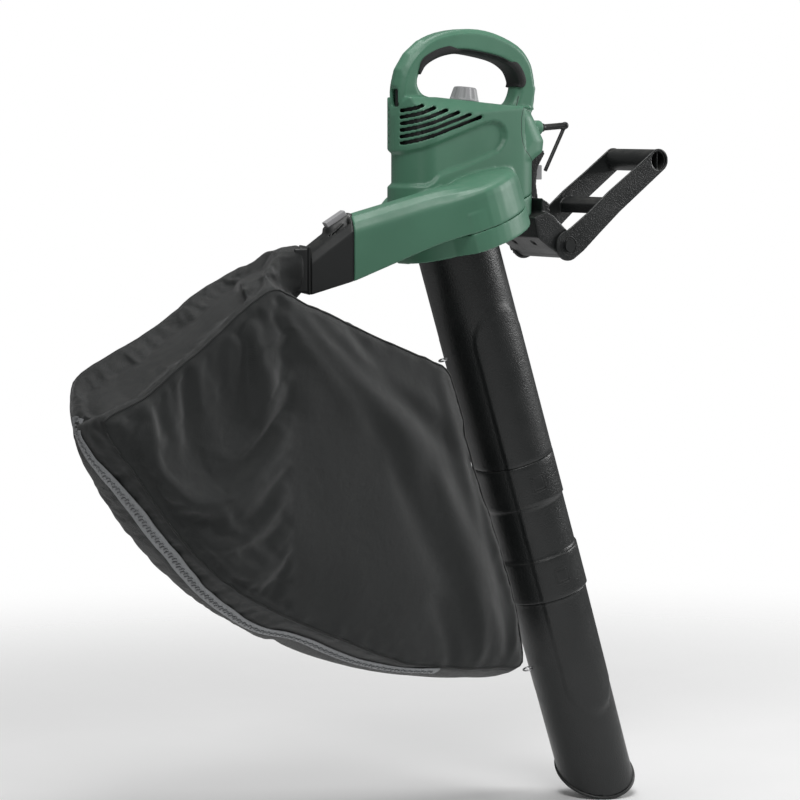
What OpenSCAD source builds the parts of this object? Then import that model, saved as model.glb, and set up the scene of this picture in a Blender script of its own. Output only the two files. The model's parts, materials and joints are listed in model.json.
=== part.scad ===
// Leaf vacuum mulcher: green motor housing with a loop handle, a three-piece
// suction tube, a scroll fan with a shredder blade, and a collecting bag.
// Origin at the middle of the main grip, +X forward, +Z up, millimetres.

/* [Housing] */
// Wall thickness of the housing shells
wall = 3; // [2:0.5:4]
// Half width of the motor housing
body_half_w = 48; // [46:1:54]
// How far the rear round of the housing sits behind the origin
body_rear = 80; // [76:1:88]
// How far the front round of the housing sits ahead of the origin
body_front = 80; // [74:1:88]
// Lowest level of the housing above the intake cover
body_floor = -285; // [-290:1:-280]
// Full width of the main grip
grip_w = 35; // [32:1:38]
// Gap between pieces that fit into each other
fit = 0.3; // [0.2:0.1:0.4]

/* [Fan and scroll] */
// Tilt of the tube and of the rotor from upright, in degrees
tube_tilt = 18; // [15:1:21]
// Height of the scroll above its seam
scroll_h = 58; // [54:1:64]
// Radius of the scroll at its front
scroll_r = 113; // [110:1:118]
// Growth of the scroll radius for each degree of turn
scroll_growth = 0.082; // [0.06:0.002:0.1]
// Depth of the intake cover below the seam
cover_h = 30; // [26:1:34]
// Radius of the impeller
impeller_r = 82; // [74:1:86]
// Height of the impeller blades
blade_h = 30; // [24:1:34]
// Number of impeller blades
blade_count = 8; // [6:1:12]

/* [Motor] */
// Radius of the stator stack
stator_r = 40; // [36:1:42]
// Length of the stator stack
stator_h = 40; // [32:1:46]
// Radius of the motor shaft
shaft_r = 5; // [4:0.5:6]

/* [Suction tube] */
// Outer radius of the upper tube
tube_r = 62; // [58:1:66]
// Wall thickness of the tubes
tube_wall = 2.5; // [2:0.5:3.5]
// Length from the seam to the first tube joint
joint_1 = 380; // [340:5:420]
// Length from the seam to the second tube joint
joint_2 = 599; // [560:5:640]
// Length from the seam to the middle of the nozzle mouth
mouth_at = 908; // [860:5:950]
// Outer radius of the nozzle near its mouth
nozzle_r = 57; // [54:1:60]
// Length of each snap collar
collar_h = 66; // [56:1:72]

/* [Outlet and bag] */
// Turn of the outlet duct from straight back, in degrees
duct_turn = 20.9; // [17:0.1:24]
// Half width of the outlet duct
duct_half_w = 38; // [34:1:42]
// Length of the bag adapter
adapter_l = 63; // [54:1:70]
// Half width of the filled bag
bag_half_w = 77; // [65:1:84]

/* [Second handle] */
// Distance from the pivot to the grip
arm_l = 218; // [190:1:236]
// Rise of the arms from level, in degrees
arm_rise = 36; // [26:1:44]
// Half width over both arms
arm_half_w = 58; // [54:1:66]
// Radius of the second grip
aux_grip_r = 17; // [15:0.5:19]

/* [Hidden] */
$fn = 48;

green = [0.29, 0.48, 0.4];
black = [0.13, 0.14, 0.15];
rubber = [0.09, 0.09, 0.1];
pale = [0.7, 0.71, 0.72];
steel = [0.72, 0.73, 0.75];
copper = [0.72, 0.43, 0.24];
cloth = [0.1, 0.11, 0.12];

// Where the rotor axis crosses the seam of the scroll
fan_x = -22.4;
fan_z = -272.2;
// Middle of the outlet mouth
duct_x = -218.5;
duct_y = -15;
duct_z = -303;
big = 900;

// ---- frames and helpers ----
module fan_frame() translate([fan_x, 0, fan_z]) rotate([0, -tube_tilt, 0]) children();

module duct_frame() translate([duct_x, duct_y, duct_z]) rotate([0, 0, 180 - duct_turn]) children();

// Round bar along Y
module y_bar(x, z, r, y0, y1) translate([x, y0, z]) rotate([-90, 0, 0]) cylinder(h = y1 - y0, r = r);

// Side view outline, given in X and Z, made y0 to y1 wide
module y_plate(y0, y1) translate([0, y1, 0]) rotate([90, 0, 0]) linear_extrude(y1 - y0) children();

module ring(r_out, r_in, h) difference() {
    cylinder(h = h, r = r_out);
    translate([0, 0, -1]) cylinder(h = h + 2, r = r_in);
}

// Smooth curves through a list of points, closed or open
function curve_at(a, b, c, d, t) = 0.5 * (2 * b + (c - a) * t + (2 * a - 5 * b + 4 * c - d) * t * t
    + (3 * b - a - 3 * c + d) * t * t * t);
function closed_curve(p, steps) = let (n = len(p)) [for (i = [0:n - 1]) for (k = [0:steps - 1])
    curve_at(p[(i + n - 1) % n], p[i], p[(i + 1) % n], p[(i + 2) % n], k / steps)];
function open_curve(p, steps) = let (n = len(p)) concat([for (i = [0:n - 2]) for (k = [0:steps - 1])
    curve_at(p[max(i - 1, 0)], p[i], p[i + 1], p[min(i + 2, n - 1)], k / steps)], [p[n - 1]]);
// The same outline moved inwards by d, for points that run clockwise
function inset(p, d) = let (n = len(p)) [for (i = [0:n - 1])
    let (t = p[(i + 1) % n] - p[(i + n - 1) % n], l = norm(t)) p[i] + [t[1], -t[0]] * d / l];

// ---- housing forms ----
// Handle outline and hand opening, side view, clockwise
handle_outer = open_curve([[-123, -108], [-127, -76], [-116, -38], [-83, -4], [-46, 12],
    [4, 18], [50, 12], [94, -6], [116, -28], [124, -50], [127, -76], [123, -108]], 3);
hand_opening = closed_curve([[-92, -58], [-77, -35], [-49, -22.5], [-12, -18], [30, -23],
    [63, -31], [84, -44], [93, -64], [87, -86], [73, -96], [32, -92.5], [-28, -87],
    [-70, -84], [-87, -75]], 3);

module handle_profile(d) difference() {
    polygon(inset(handle_outer, d));
    polygon(inset(hand_opening, -d));
}

grip_half = grip_w / 2;
module handle_form() {
    y_plate(-grip_half + 6, grip_half - 6) handle_profile(0);
    y_plate(-grip_half + 2.5, grip_half - 2.5) handle_profile(2.5);
    y_plate(-grip_half, grip_half) handle_profile(6.5);
}

module slice(x, z, r, d) translate([x, 0, z - 0.5]) cylinder(h = 1, r = r - d, $fn = 32);

// Motor housing, d is how far the surface is moved inwards
front_half_w = body_half_w - 8;
deck_half_w = 25;
module body_plan(d) {
    translate([-body_rear, 0]) circle(r = body_half_w - d);
    translate([body_front, 0]) circle(r = front_half_w - d);
    polygon([[-body_rear, body_half_w - d], [body_front, front_half_w - d],
        [body_front, -front_half_w + d], [-body_rear, -body_half_w + d]]);
}
module body_form(d) intersection() {
    translate([0, 0, body_floor + d]) linear_extrude(-body_floor - 60) body_plan(d);
    y_plate(-big, big) polygon([[-140, body_floor - 1], [-140, -130], [-128 + d, -112], [-124 + d, -92],
        [-119 + d, -84 - d], [-70, -84 - d], [60, -96 - d], [112 - d, -99 - d], [116 - d, -112],
        [140, -125], [140, body_floor - 1]]);
    rotate([90, 0, 90]) translate([0, 0, -big]) linear_extrude(2 * big) polygon([[-90, body_floor - 1], [90, body_floor - 1],
        [90, -118], [body_half_w - d, -118], [body_half_w - 6 - d, -104 - d / 2], [deck_half_w + 8 - d, -91 - d / 2],
        [deck_half_w - d, -70], [-deck_half_w + d, -70], [-deck_half_w - 8 + d, -91 - d / 2],
        [-body_half_w + 6 + d, -104 - d / 2], [-body_half_w + d, -118], [-90, -118]]);
}

function volute_r(a) = scroll_r + scroll_growth * a;
module scroll_outline(d) polygon([for (a = [110:-6:-190])
    [(volute_r(a) - d) * cos(a), -(volute_r(a) - d) * sin(a)]]);

// Levels of the scroll above the seam, each with its inset from the outline
scroll_steps = [[scroll_h - 8, 0], [scroll_h - 3, 2], [scroll_h, 6], [scroll_h + 4, 16], [scroll_h + 8, 30]];
module scroll_form(d) for (t = scroll_steps) translate([0, 0, d > 0 ? -1 : 0])
    linear_extrude(t[0] - d + (d > 0 ? 1 : 0)) scroll_outline(t[1] + d);

// Duct section at a distance x along the duct, between levels lo and hi
crown = 25;
module duct_section(x, w, lo, hi, d) translate([x, 0, 0]) rotate([90, 0, 90]) linear_extrude(0.5)
    polygon([[-w + d, lo + d], [w - d, lo + d], [w - d, hi - crown], [w * 0.8 - d * 0.8, hi - 11 - d / 2],
        [w * 0.42, hi - 3 - d], [0, hi - d], [-w * 0.42, hi - 3 - d], [-w * 0.8 + d * 0.8, hi - 11 - d / 2],
        [-w + d, hi - crown]]);

duct_root = 150;
module duct_form(d) hull() {
    duct_section(-duct_root - d, duct_half_w, 13, 92, d);
    duct_section(d > 0 ? 0.6 : -0.5, duct_half_w, -49, 49, d);
}

// Everything above or below the seam plane
module above_seam(z0) fan_frame() translate([-big / 2, -big / 2, z0]) cube([big, big, big]);
module seam_slab(z0, z1) fan_frame() translate([-big / 2, -big / 2, z0]) cube([big, big, z1 - z0]);

// The nose plate at the front, where the front cover sits
cover_back = 88;
cover_top = -92;
cover_low = -180;
module front_region(d) translate([cover_back - d, -big / 2, cover_low - d])
    cube([big, big, cover_top - cover_low + 2 * d]);

module slot_cut(x0, x1, z0, half, y0, y1) {
    slope = tan(17);
    z1 = z0 + (x1 - x0) * slope;
    y_bar(x0, z0, half, y0, y1);
    y_bar(x1, z1, half, y0, y1);
    y_plate(y0, y1) polygon([[x0 - half * sin(17), z0 + half * cos(17)], [x1 - half * sin(17), z1 + half * cos(17)],
        [x1 + half * sin(17), z1 - half * cos(17)], [x0 + half * sin(17), z0 - half * cos(17)]]);
}

slot_count = 6;
slot_pitch = 9.6;
slot_half = 2.2;
module vent_slots(y0, y1) for (i = [0:slot_count - 1])
    slot_cut(-124, -98 + 20.3 * i, -104 - slot_pitch * i, slot_half, y0, y1);

// Screw bosses, given in X and Z
screw_at = [[-109, -64], [108, -66], [62, -130], [-112, -222], [100, -214]];
screw_r = 2;
boss_r = 4.5;
module bosses(y0, y1) for (p = screw_at) y_bar(p[0], p[1], boss_r, y0, y1);

// Pocket for the shoulder strap at the foot of the rear leg
pocket_z = -98;
pocket_h = 26;
pocket_r = 9;
pin_x = -117;
module strap_pocket() {
    translate([pin_x - 3, 0, pocket_z]) cylinder(h = pocket_h, r = pocket_r);
    translate([pin_x - 40, -pocket_r, pocket_z]) cube([37, 2 * pocket_r, pocket_h]);
}

// Where the speed dial stands on the sloping deck
dial_x = 2;
dial_z = -90;
deck_slope = 6;
module dial_frame() translate([dial_x, 0, dial_z]) rotate([0, deck_slope, 0]) children();
spindle_r = 3;
dial_hole_r = 6;

// Button seats
tube_button_z = -198;
tube_button_x = 117;
tube_button_w = 16;
tube_button_h = 22;
button_travel = 4;
rib_x = 100;

plate_z = 42;
plate_h = 4;
plate_r = 92;

module housing_hull() {
    handle_form();
    intersection() {
        body_form(0);
        above_seam(0);
    }
    fan_frame() scroll_form(0);
    difference() {
        duct_frame() duct_form(0);
        fan_frame() translate([0, 0, -100]) linear_extrude(100) cover_outline(-fit);
    }
}

module housing_cavity() {
    y_plate(-grip_half + 3.5, grip_half - 3.5) handle_profile(7.5);
    difference() {
        body_form(wall);
        strap_pocket_wall();
    }
    fan_frame() scroll_form(wall);
    duct_frame() duct_form(wall);
}

module strap_pocket_wall() translate([pin_x - 40, -pocket_r - wall, pocket_z - wall])
    cube([40 + pocket_r + wall - 3, 2 * (pocket_r + wall), pocket_h + wall]);

// Groove that holds the rim of the fan plate
module plate_ledge() fan_frame() intersection() {
    translate([0, 0, plate_z - 3]) linear_extrude(3) difference() {
        scroll_outline(wall - 1);
        circle(r = plate_r - 4);
    }
    translate([-60, -150, -10]) cube([200, 300, 100]);
}

module housing_pair() difference() {
    union() {
        difference() {
            housing_hull();
            housing_cavity();
        }
        intersection() {
            bosses(-body_half_w, body_half_w);
            housing_hull();
        }
        plate_ledge();
        fan_frame() for (p = cover_screw_at) translate([p[0], p[1], 0]) cylinder(h = 24, r = 5);
        intersection() {
            translate([rib_x - 4, -big / 2, tube_button_z - 16]) cube([4, big, 32]);
            body_form(0);
        }
    }
    fan_frame() for (p = cover_screw_at) translate([p[0], p[1], -1]) cylinder(h = 19, r = 2);
    for (p = screw_at) y_bar(p[0], p[1], screw_r, -8, big);
    for (p = screw_at) y_bar(p[0], p[1], 3.8, p[1] > -100 ? 9 : 26, big);
    intersection() {
        front_region(0.2);
        translate([0, -big / 2, -big]) cube([big, big, big]);
        y_plate(-grip_half - 60, 60) polygon([[cover_back, cover_top - 4], [126, cover_top - 12],
            [200, -100], [200, cover_low], [cover_back, cover_low]]);
    }
    strap_pocket();
    dial_frame() translate([0, 0, -20]) cylinder(h = 40, r = dial_hole_r);
    dial_frame() translate([0, 0, -0.4]) cylinder(h = 20, r = 25);
    grip_insert_form(fit);
    vent_slots(12, 70);
    vent_slots(-70, -12);
    translate([90, -tube_button_w / 2 - fit, tube_button_z - tube_button_h / 2 - fit])
        cube([60, tube_button_w + 2 * fit, tube_button_h + 2 * fit]);
}

module grip_insert_form(d) intersection() {
    y_plate(-grip_half + 3 - d, grip_half - 3 + d) difference() {
        polygon(inset(hand_opening, -5 - d));
        polygon(inset(hand_opening, d > 0 ? 4 : 0));
    }
    y_plate(-30, 30) polygon([[-86 - d, -38 - d], [-86 - d, 40], [110, 40], [110, -66 - d],
        [60, -66 - d], [60, -38 - d]]);
}

// The right shell carries the whole outlet, the left one ends at the scroll
duct_split = 72;
module left_space() difference() {
    translate([-big, 0, -2 * big]) cube([2 * big, big, 3 * big]);
    duct_frame() translate([-duct_split, -duct_half_w - 1, -big]) cube([big, big, 2 * big]);
}

module housing_right() color(green) difference() {
    housing_pair();
    left_space();
}

module housing_left() color(green) intersection() {
    housing_pair();
    left_space();
}

// Nose shell in front of the parting line, open to the rear
module nose_form(d) hull() {
    slice(90, -99 - d, 24, d);
    slice(94, -114, 30, d);
    slice(106, -150, 37, d);
    slice(104, -166, 37, d);
    slice(body_front, cover_low + d, front_half_w, d);
}
nose_boss_z = -130;
module front_cover() color(green) difference() {
    union() {
        difference() {
            intersection() {
                nose_form(0);
                front_region(0);
                y_plate(-60, 60) polygon([[cover_back, cover_top - 4], [126, cover_top - 12],
                    [200, -100], [200, cover_low], [cover_back, cover_low]]);
            }
            nose_form(wall);
        }
        translate([132, 0, nose_boss_z]) rotate([0, 90, 0]) ring(11, 7, 13);
    }
    translate([118, 0, nose_boss_z]) rotate([0, 90, 0]) cylinder(h = 60, r = 7);
    translate([116, inlet_y, inlet_z]) rotate([0, 90, 0]) cylinder(h = 60, r = inlet_r + fit);
}

module grip_insert() color(rubber) grip_insert_form(0);

module housing_screws() color(steel) for (p = screw_at) {
    y_bar(p[0], p[1], screw_r, -7, p[1] > -100 ? 9 : 26);
    y_bar(p[0], p[1], 3.5, p[1] > -100 ? 9 : 26, p[1] > -100 ? 11.5 : 28.5);
}

module strap_pin() color(steel) translate([pin_x - 3, 0, pocket_z]) cylinder(h = pocket_h, r = 3);

// ---- intake cover ----
socket_r = tube_r - 1.5;
module cover_outline(d) {
    scroll_outline(d);
    circle(r = volute_r(-140) - d);
}
module cover_form(z0, z1, d) {
    fan_frame() translate([0, 0, z0]) linear_extrude(z1 - z0) cover_outline(d);
    intersection() {
        body_form(d);
        seam_slab(z0, z1);
    }
}
bracket_screw_x = 122;
bracket_screw_y = [-24, 24];
cover_screw_at = [for (a = [48, 108, -48, -125]) (volute_r(a) - wall - 2) * [cos(a), -sin(a)]];
module intake_cover() color(green) difference() {
    union() {
        difference() {
            cover_form(-cover_h, 0, 0);
            cover_form(-cover_h + wall, 1, wall);
        }
        fan_frame() translate([0, 0, -cover_h]) ring(socket_r + wall + 0.5, socket_r, cover_h - 4);
        fan_frame() for (p = cover_screw_at) translate([p[0], p[1], -cover_h]) cylinder(h = cover_h, r = 5);
        fan_frame() for (y = bracket_screw_y) translate([bracket_screw_x, y, -cover_h]) cylinder(h = 16, r = 5);
    }
    fan_frame() for (y = bracket_screw_y) translate([bracket_screw_x, y, -cover_h - 1]) cylinder(h = 15, r = 2);
    fan_frame() translate([0, 0, -cover_h - 1]) cylinder(h = cover_h + 2, r = socket_r);
    fan_frame() for (p = cover_screw_at) translate([p[0], p[1], -cover_h - 1]) cylinder(h = cover_h + 2, r = 2);
    fan_frame() for (p = cover_screw_at) translate([p[0], p[1], -cover_h - 1]) cylinder(h = 6, r = 4);
}
module cover_screws() color(steel) fan_frame() for (p = cover_screw_at) translate([p[0], p[1], 0]) {
    translate([0, 0, -cover_h + 5]) cylinder(h = cover_h + 9, r = 2);
    translate([0, 0, -cover_h + 2.5]) cylinder(h = 2.5, r = 3.6);
}

// ---- speed dial ----
dial_r = 22.5;
dial_top_r = 17.5;
dial_h = 21;
spindle_top = 14;
module speed_dial() color(pale) dial_frame() difference() {
    rotate_extrude() polygon([[0, 0], [dial_r, 0], [dial_r - 1, 4], [dial_top_r, dial_h - 2],
        [dial_top_r - 2, dial_h], [0, dial_h]]);
    for (i = [0:7]) rotate([0, 0, 45 * i]) translate([dial_r + 4, 0, 4]) rotate([0, -13, 0])
        cylinder(h = dial_h + 6, r = 7);
    translate([0, 0, -1]) cylinder(h = spindle_top + 1, r = spindle_r);
}
module dial_shaft() color(steel) dial_frame() translate([0, 0, -9.5]) cylinder(h = spindle_top + 9.5, r = spindle_r);
module dial_switch() color(black) dial_frame() difference() {
    union() {
        translate([-14, -12, -22]) cube([28, 24, 17]);
        translate([0, 0, -5]) cylinder(h = 4, r = 5.5);
    }
    translate([0, 0, -10]) cylinder(h = 20, r = spindle_r + 0.05);
}
module control_board() color([0.1, 0.35, 0.2]) dial_frame() {
    translate([-26, -16, -24]) cube([52, 32, 2]);
    translate([17, -12, -22]) cube([7, 10, 12]);
    translate([17, 2, -22]) cube([7, 8, 9]);
    translate([-24, -10, -22]) cube([8, 20, 8]);
}

// ---- motor, stacked along the rotor axis ----
bearing_r = 11;
bearing_h = 8;
lower_bearing_z = plate_z + plate_h - 1;
cooling_z = 57;
stator_z = 76;
upper_bearing_z = stator_z + stator_h + 34;
shaft_low = -22;
armature_r = 24;
air_gap = 0.8;
coil_h = 12;

lug_at = stator_r + 2;
leg_at = stator_r + 1;
module fan_plate() color(black) fan_frame() difference() {
    union() {
        translate([0, 0, plate_z]) linear_extrude(plate_h) scroll_outline(wall + fit);
        translate([0, 0, plate_z + plate_h]) cylinder(h = bearing_h, r = bearing_r + 4);
        for (a = [45:90:315]) rotate([0, 0, a]) translate([lug_at, 0, plate_z + plate_h])
            cylinder(h = stator_z - plate_z - plate_h, r = 4);
    }
    translate([0, 0, lower_bearing_z]) cylinder(h = bearing_h + 10, r = bearing_r);
    translate([0, 0, plate_z - 1]) cylinder(h = plate_h + 2, r = shaft_r + 2);
    for (a = [45:90:315]) rotate([0, 0, a]) translate([lug_at, 0, stator_z - 20])
        cylinder(h = 30, r = 1.6);
}
module plate_screws() color(steel) fan_frame() for (a = [45:90:315]) rotate([0, 0, a])
    translate([lug_at, 0, 0]) {
        translate([0, 0, stator_z - 16]) cylinder(h = 16 + stator_h + 6, r = 1.6);
        translate([0, 0, stator_z + stator_h + 6]) cylinder(h = 2.5, r = 3);
    }

module ball_bearing(z) color(steel) fan_frame() translate([0, 0, z]) difference() {
    ring(bearing_r, shaft_r, bearing_h);
    translate([0, 0, bearing_h - 1.2]) ring(bearing_r - 2, shaft_r + 2, 5);
}
module lower_bearing() ball_bearing(lower_bearing_z);
module upper_bearing() ball_bearing(upper_bearing_z);

module bearing_bracket() color(black) fan_frame() difference() {
    union() {
        translate([0, 0, upper_bearing_z]) cylinder(h = bearing_h + 3, r = bearing_r + 4);
        for (a = [0, 90]) rotate([0, 0, a + 45]) {
            translate([-leg_at - 4, -4, upper_bearing_z + 2]) cube([2 * leg_at + 8, 8, 6]);
        }
        for (a = [45:90:315]) rotate([0, 0, a]) translate([lug_at, 0, stator_z + stator_h])
            cylinder(h = 6, r = 4);
        for (a = [45:90:315]) rotate([0, 0, a]) translate([leg_at, -3, stator_z + stator_h])
            cube([4, 6, upper_bearing_z + 8 - stator_z - stator_h]);
    }
    translate([0, 0, upper_bearing_z - 1]) cylinder(h = bearing_h + 1, r = bearing_r);
    for (a = [45:90:315]) rotate([0, 0, a]) translate([lug_at, 0, stator_z + stator_h - 1])
        cylinder(h = 7, r = 1.6);
    for (a = [45:90:315]) rotate([0, 0, a]) translate([lug_at, 0, stator_z + stator_h + 6])
        cylinder(h = 3, r = 3.4);
}

module stator_core() color(steel) fan_frame() difference() {
    union() {
        translate([0, 0, stator_z]) cylinder(h = stator_h, r = stator_r);
        for (a = [45:90:315]) rotate([0, 0, a]) translate([lug_at - 6, -4, stator_z]) cube([10, 8, stator_h]);
    }
    translate([0, 0, stator_z - 1]) cylinder(h = stator_h + 2, r = armature_r + air_gap);
    for (a = [0, 180]) rotate([0, 0, a]) translate([-16, armature_r - 6, stator_z - 1])
        cube([32, stator_r - armature_r, stator_h + 2]);
    for (a = [45:90:315]) rotate([0, 0, a]) translate([lug_at, 0, stator_z - 1])
        cylinder(h = stator_h + 2, r = 1.6);
}
module field_coils() color(copper) fan_frame() for (a = [0, 180]) rotate([0, 0, a]) difference() {
    translate([-15.7, armature_r + air_gap + 1.2, stator_z - coil_h]) cube([31.4, 6.6, stator_h + 2 * coil_h]);
    translate([-7, armature_r - 2, stator_z - coil_h + 5]) cube([14, 20, stator_h + 2 * coil_h - 10]);
}
module armature_core() color(steel) fan_frame() difference() {
    translate([0, 0, stator_z]) cylinder(h = stator_h, r = armature_r);
    translate([0, 0, stator_z - 1]) cylinder(h = stator_h + 2, r = shaft_r);
    for (a = [0:30:330]) rotate([0, 0, a]) translate([armature_r - 7, -1.2, stator_z - 1])
        cube([10, 2.4, stator_h + 2]);
}
module armature_coils() color(copper) fan_frame() for (z = [stator_z - 10, stator_z + stator_h])
    translate([0, 0, z]) difference() {
        rotate_extrude() polygon([[shaft_r + 1, 0], [armature_r - 4, 0], [armature_r - 2, 3],
            [armature_r - 2, 7], [armature_r - 5, 10], [shaft_r + 1, 10]]);
        translate([0, 0, -1]) cylinder(h = 12, r = shaft_r);
    }
commutator_z = stator_z + stator_h + 12;
commutator_r = 13;
module commutator() color(copper) fan_frame() translate([0, 0, commutator_z]) difference() {
    cylinder(h = 16, r = commutator_r);
    translate([0, 0, -1]) cylinder(h = 18, r = shaft_r);
    for (a = [0:15:345]) rotate([0, 0, a]) translate([commutator_r - 1.2, -0.3, 2]) cube([3, 0.6, 16]);
}
module motor_shaft() color(steel) fan_frame() translate([0, 0, shaft_low])
    cylinder(h = upper_bearing_z + bearing_h - shaft_low, r = shaft_r);

module cooling_fan() color(black) fan_frame() translate([0, 0, cooling_z]) difference() {
    union() {
        cylinder(h = 2, r = 34);
        cylinder(h = 8, r = 9);
        for (a = [0:30:330]) rotate([0, 0, a]) translate([10, -0.8, 1.5]) cube([23, 1.6, 5]);
    }
    translate([0, 0, -1]) cylinder(h = 12, r = shaft_r);
}

// Carbon brushes press on the commutator from both sides
brush_w = 6;
brush_l = 10;
holder_l = leg_at - commutator_r - 2;
module brush_line() fan_frame() for (a = [45, 225]) rotate([0, 0, a])
    translate([commutator_r, 0, commutator_z + 8]) children();
module brush_holders() color(black) brush_line() difference() {
    translate([2, -6, -6]) cube([holder_l, 12, 12]);
    translate([-1, -brush_w / 2 - 0.2, -brush_w / 2 - 0.2]) cube([21, brush_w + 0.4, brush_w + 0.4]);
}
module carbon_brushes() color(rubber) brush_line() translate([0.1, -brush_w / 2, -brush_w / 2])
    cube([brush_l, brush_w, brush_w]);
module brush_springs() color(steel) brush_line() translate([brush_l + 0.2, 0, 0]) rotate([0, 90, 0])
    ring(2.6, 1.8, 9.6);

// ---- fan and shredder ----
blade_base = 4;
impeller_z = 6;
module impeller() color(black) fan_frame() translate([0, 0, impeller_z]) difference() {
    union() {
        translate([0, 0, blade_h]) cylinder(h = blade_base, r = impeller_r);
        translate([0, 0, blade_h - 14]) cylinder(h = 14.5, r = 15);
        intersection() {
            linear_extrude(blade_h + 1) for (i = [0:blade_count - 1]) rotate([0, 0, 360 * i / blade_count])
                translate([14, -1.3]) square([impeller_r - 14, 2.6]);
            rotate_extrude() polygon([[13, blade_h + 1], [14, 15], [36, 5], [impeller_r - 1, 0],
                [impeller_r - 1, blade_h + 1]]);
        }
    }
    translate([0, 0, -1]) cylinder(h = blade_h + 12, r = shaft_r);
}
shredder_z = -8;
shredder_l = 50;
module shredder_blade() color(steel) fan_frame() translate([0, 0, shredder_z]) difference() {
    union() {
        cylinder(h = impeller_z + blade_h - 14 - shredder_z, r = 9);
        linear_extrude(3) for (a = [0, 180]) rotate([0, 0, a])
            polygon([[-8, -12], [34, -11], [shredder_l, -4], [shredder_l, 5], [20, 9], [-8, 12]]);
    }
    translate([0, 0, -1]) cylinder(h = 60, r = shaft_r);
}
module impeller_nut() color(steel) fan_frame() translate([0, 0, shredder_z - 7]) difference() {
    cylinder(h = 7, r = 9, $fn = 6);
    translate([0, 0, -1]) cylinder(h = 9, r = shaft_r);
}

// ---- front bracket, latch and cord hook ----
pivot_x = 157.5;
pivot_z = -309;
hub_r = 19;
hub_half = arm_half_w - 5;
pivot_r = 5;
function seam_z(x, drop) = fan_z + (x - fan_x) * tan(tube_tilt) - drop / cos(tube_tilt);
spine_w = 12;
nose_front = body_front + front_half_w;
module front_bracket() color(black) difference() {
    union() {
        difference() {
            y_plate(-hub_half, hub_half) polygon([[96, seam_z(96, cover_h)], [nose_front + 1, seam_z(nose_front + 1, cover_h)],
                [132, -262], [167, -293], [pivot_x + hub_r, pivot_z], [pivot_x - 4, pivot_z - hub_r + 0.5],
                [128, -313], [103, -296]]);
            y_bar(pivot_x, pivot_z, hub_r, -80, 80);
        }
        y_bar(pivot_x, pivot_z, hub_r, -hub_half, hub_half);
        y_plate(-spine_w, spine_w) polygon([[nose_front, -262], [nose_front, cover_low - 1],
            [140, -166], [144, -164], [146, -170], [133, -190], [130, -215], [134, -240], [134, -262]]);
        y_plate(-hub_half + 14, hub_half - 14) polygon([[nose_front, -258], [nose_front, -236], [134, -244], [136, -262]]);
    }
    y_bar(pivot_x, pivot_z, pivot_r + 0.05, -80, 80);
    for (y = bracket_screw_y) fan_frame() translate([bracket_screw_x, y, -cover_h - 90]) cylinder(h = 91, r = 2);
    for (y = bracket_screw_y) fan_frame() translate([bracket_screw_x, y, -cover_h - 90]) cylinder(h = 84, r = 4);
    translate([100, -tube_button_w / 2 - fit, tube_button_z - tube_button_h / 2 - fit])
        cube([60, tube_button_w + 2 * fit, tube_button_h + 2 * fit]);
    nose_form(-0.2);
}
module bracket_screws() color(steel) for (y = bracket_screw_y) fan_frame()
    translate([bracket_screw_x, y, -cover_h - 6]) {
    cylinder(h = 18, r = 2);
    translate([0, 0, -2.5]) cylinder(h = 2.5, r = 3.6);
}

// Switch that stops the motor while the tube is off
module interlock_switch() color(black) fan_frame() translate([socket_r + wall + 3, 14, -cover_h + wall]) {
    cube([18, 10, 14]);
    translate([7, 3, 14]) cube([4, 4, 3]);
}

// Rigid loop that keeps the extension cord from pulling out
hook_r = 3;
hook_tip = [194, -127];
hook_low_z = -196;
module bar_between(a, b, r) translate([a[0], 0, a[1]])
    rotate([0, 90 - atan2(b[1] - a[1], b[0] - a[0]), 0]) cylinder(h = norm(b - a), r = r);
module cord_hook() color(black) {
    bar_between([130, nose_boss_z], [nose_boss_tip, nose_boss_z], 6.7);
    bar_between([nose_boss_tip - 2, nose_boss_z], hook_tip, 5);
    translate([hook_tip[0], 0, hook_tip[1]]) sphere(r = 5.8);
    bar_between(hook_tip, [hook_end[0] - 1, hook_end[1]], hook_r);
}
nose_boss_tip = 152;
hook_end = [157, -196];
inlet_y = 20;
inlet_z = -150;
inlet_r = 7;
module cord_inlet() color(black) translate([118, inlet_y, inlet_z]) rotate([0, 90, 0]) difference() {
    rotate_extrude() polygon([[0, 0], [inlet_r, 0], [inlet_r, 20], [inlet_r - 2, 27], [0, 27]]);
    translate([0, 0, -1]) cylinder(h = 30, r = 4);
}

module tube_button() color(pale) difference() {
    translate([108, -tube_button_w / 2, tube_button_z - tube_button_h / 2]) cube([36, tube_button_w, tube_button_h]);
    translate([107, -4, tube_button_z - 4]) cube([12, 8, 8]);
}
module tube_button_spring() color(steel) translate([rib_x + 0.1, 0, tube_button_z])
    rotate([0, 90, 0]) ring(3.4, 2.6, 18.7);

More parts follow.
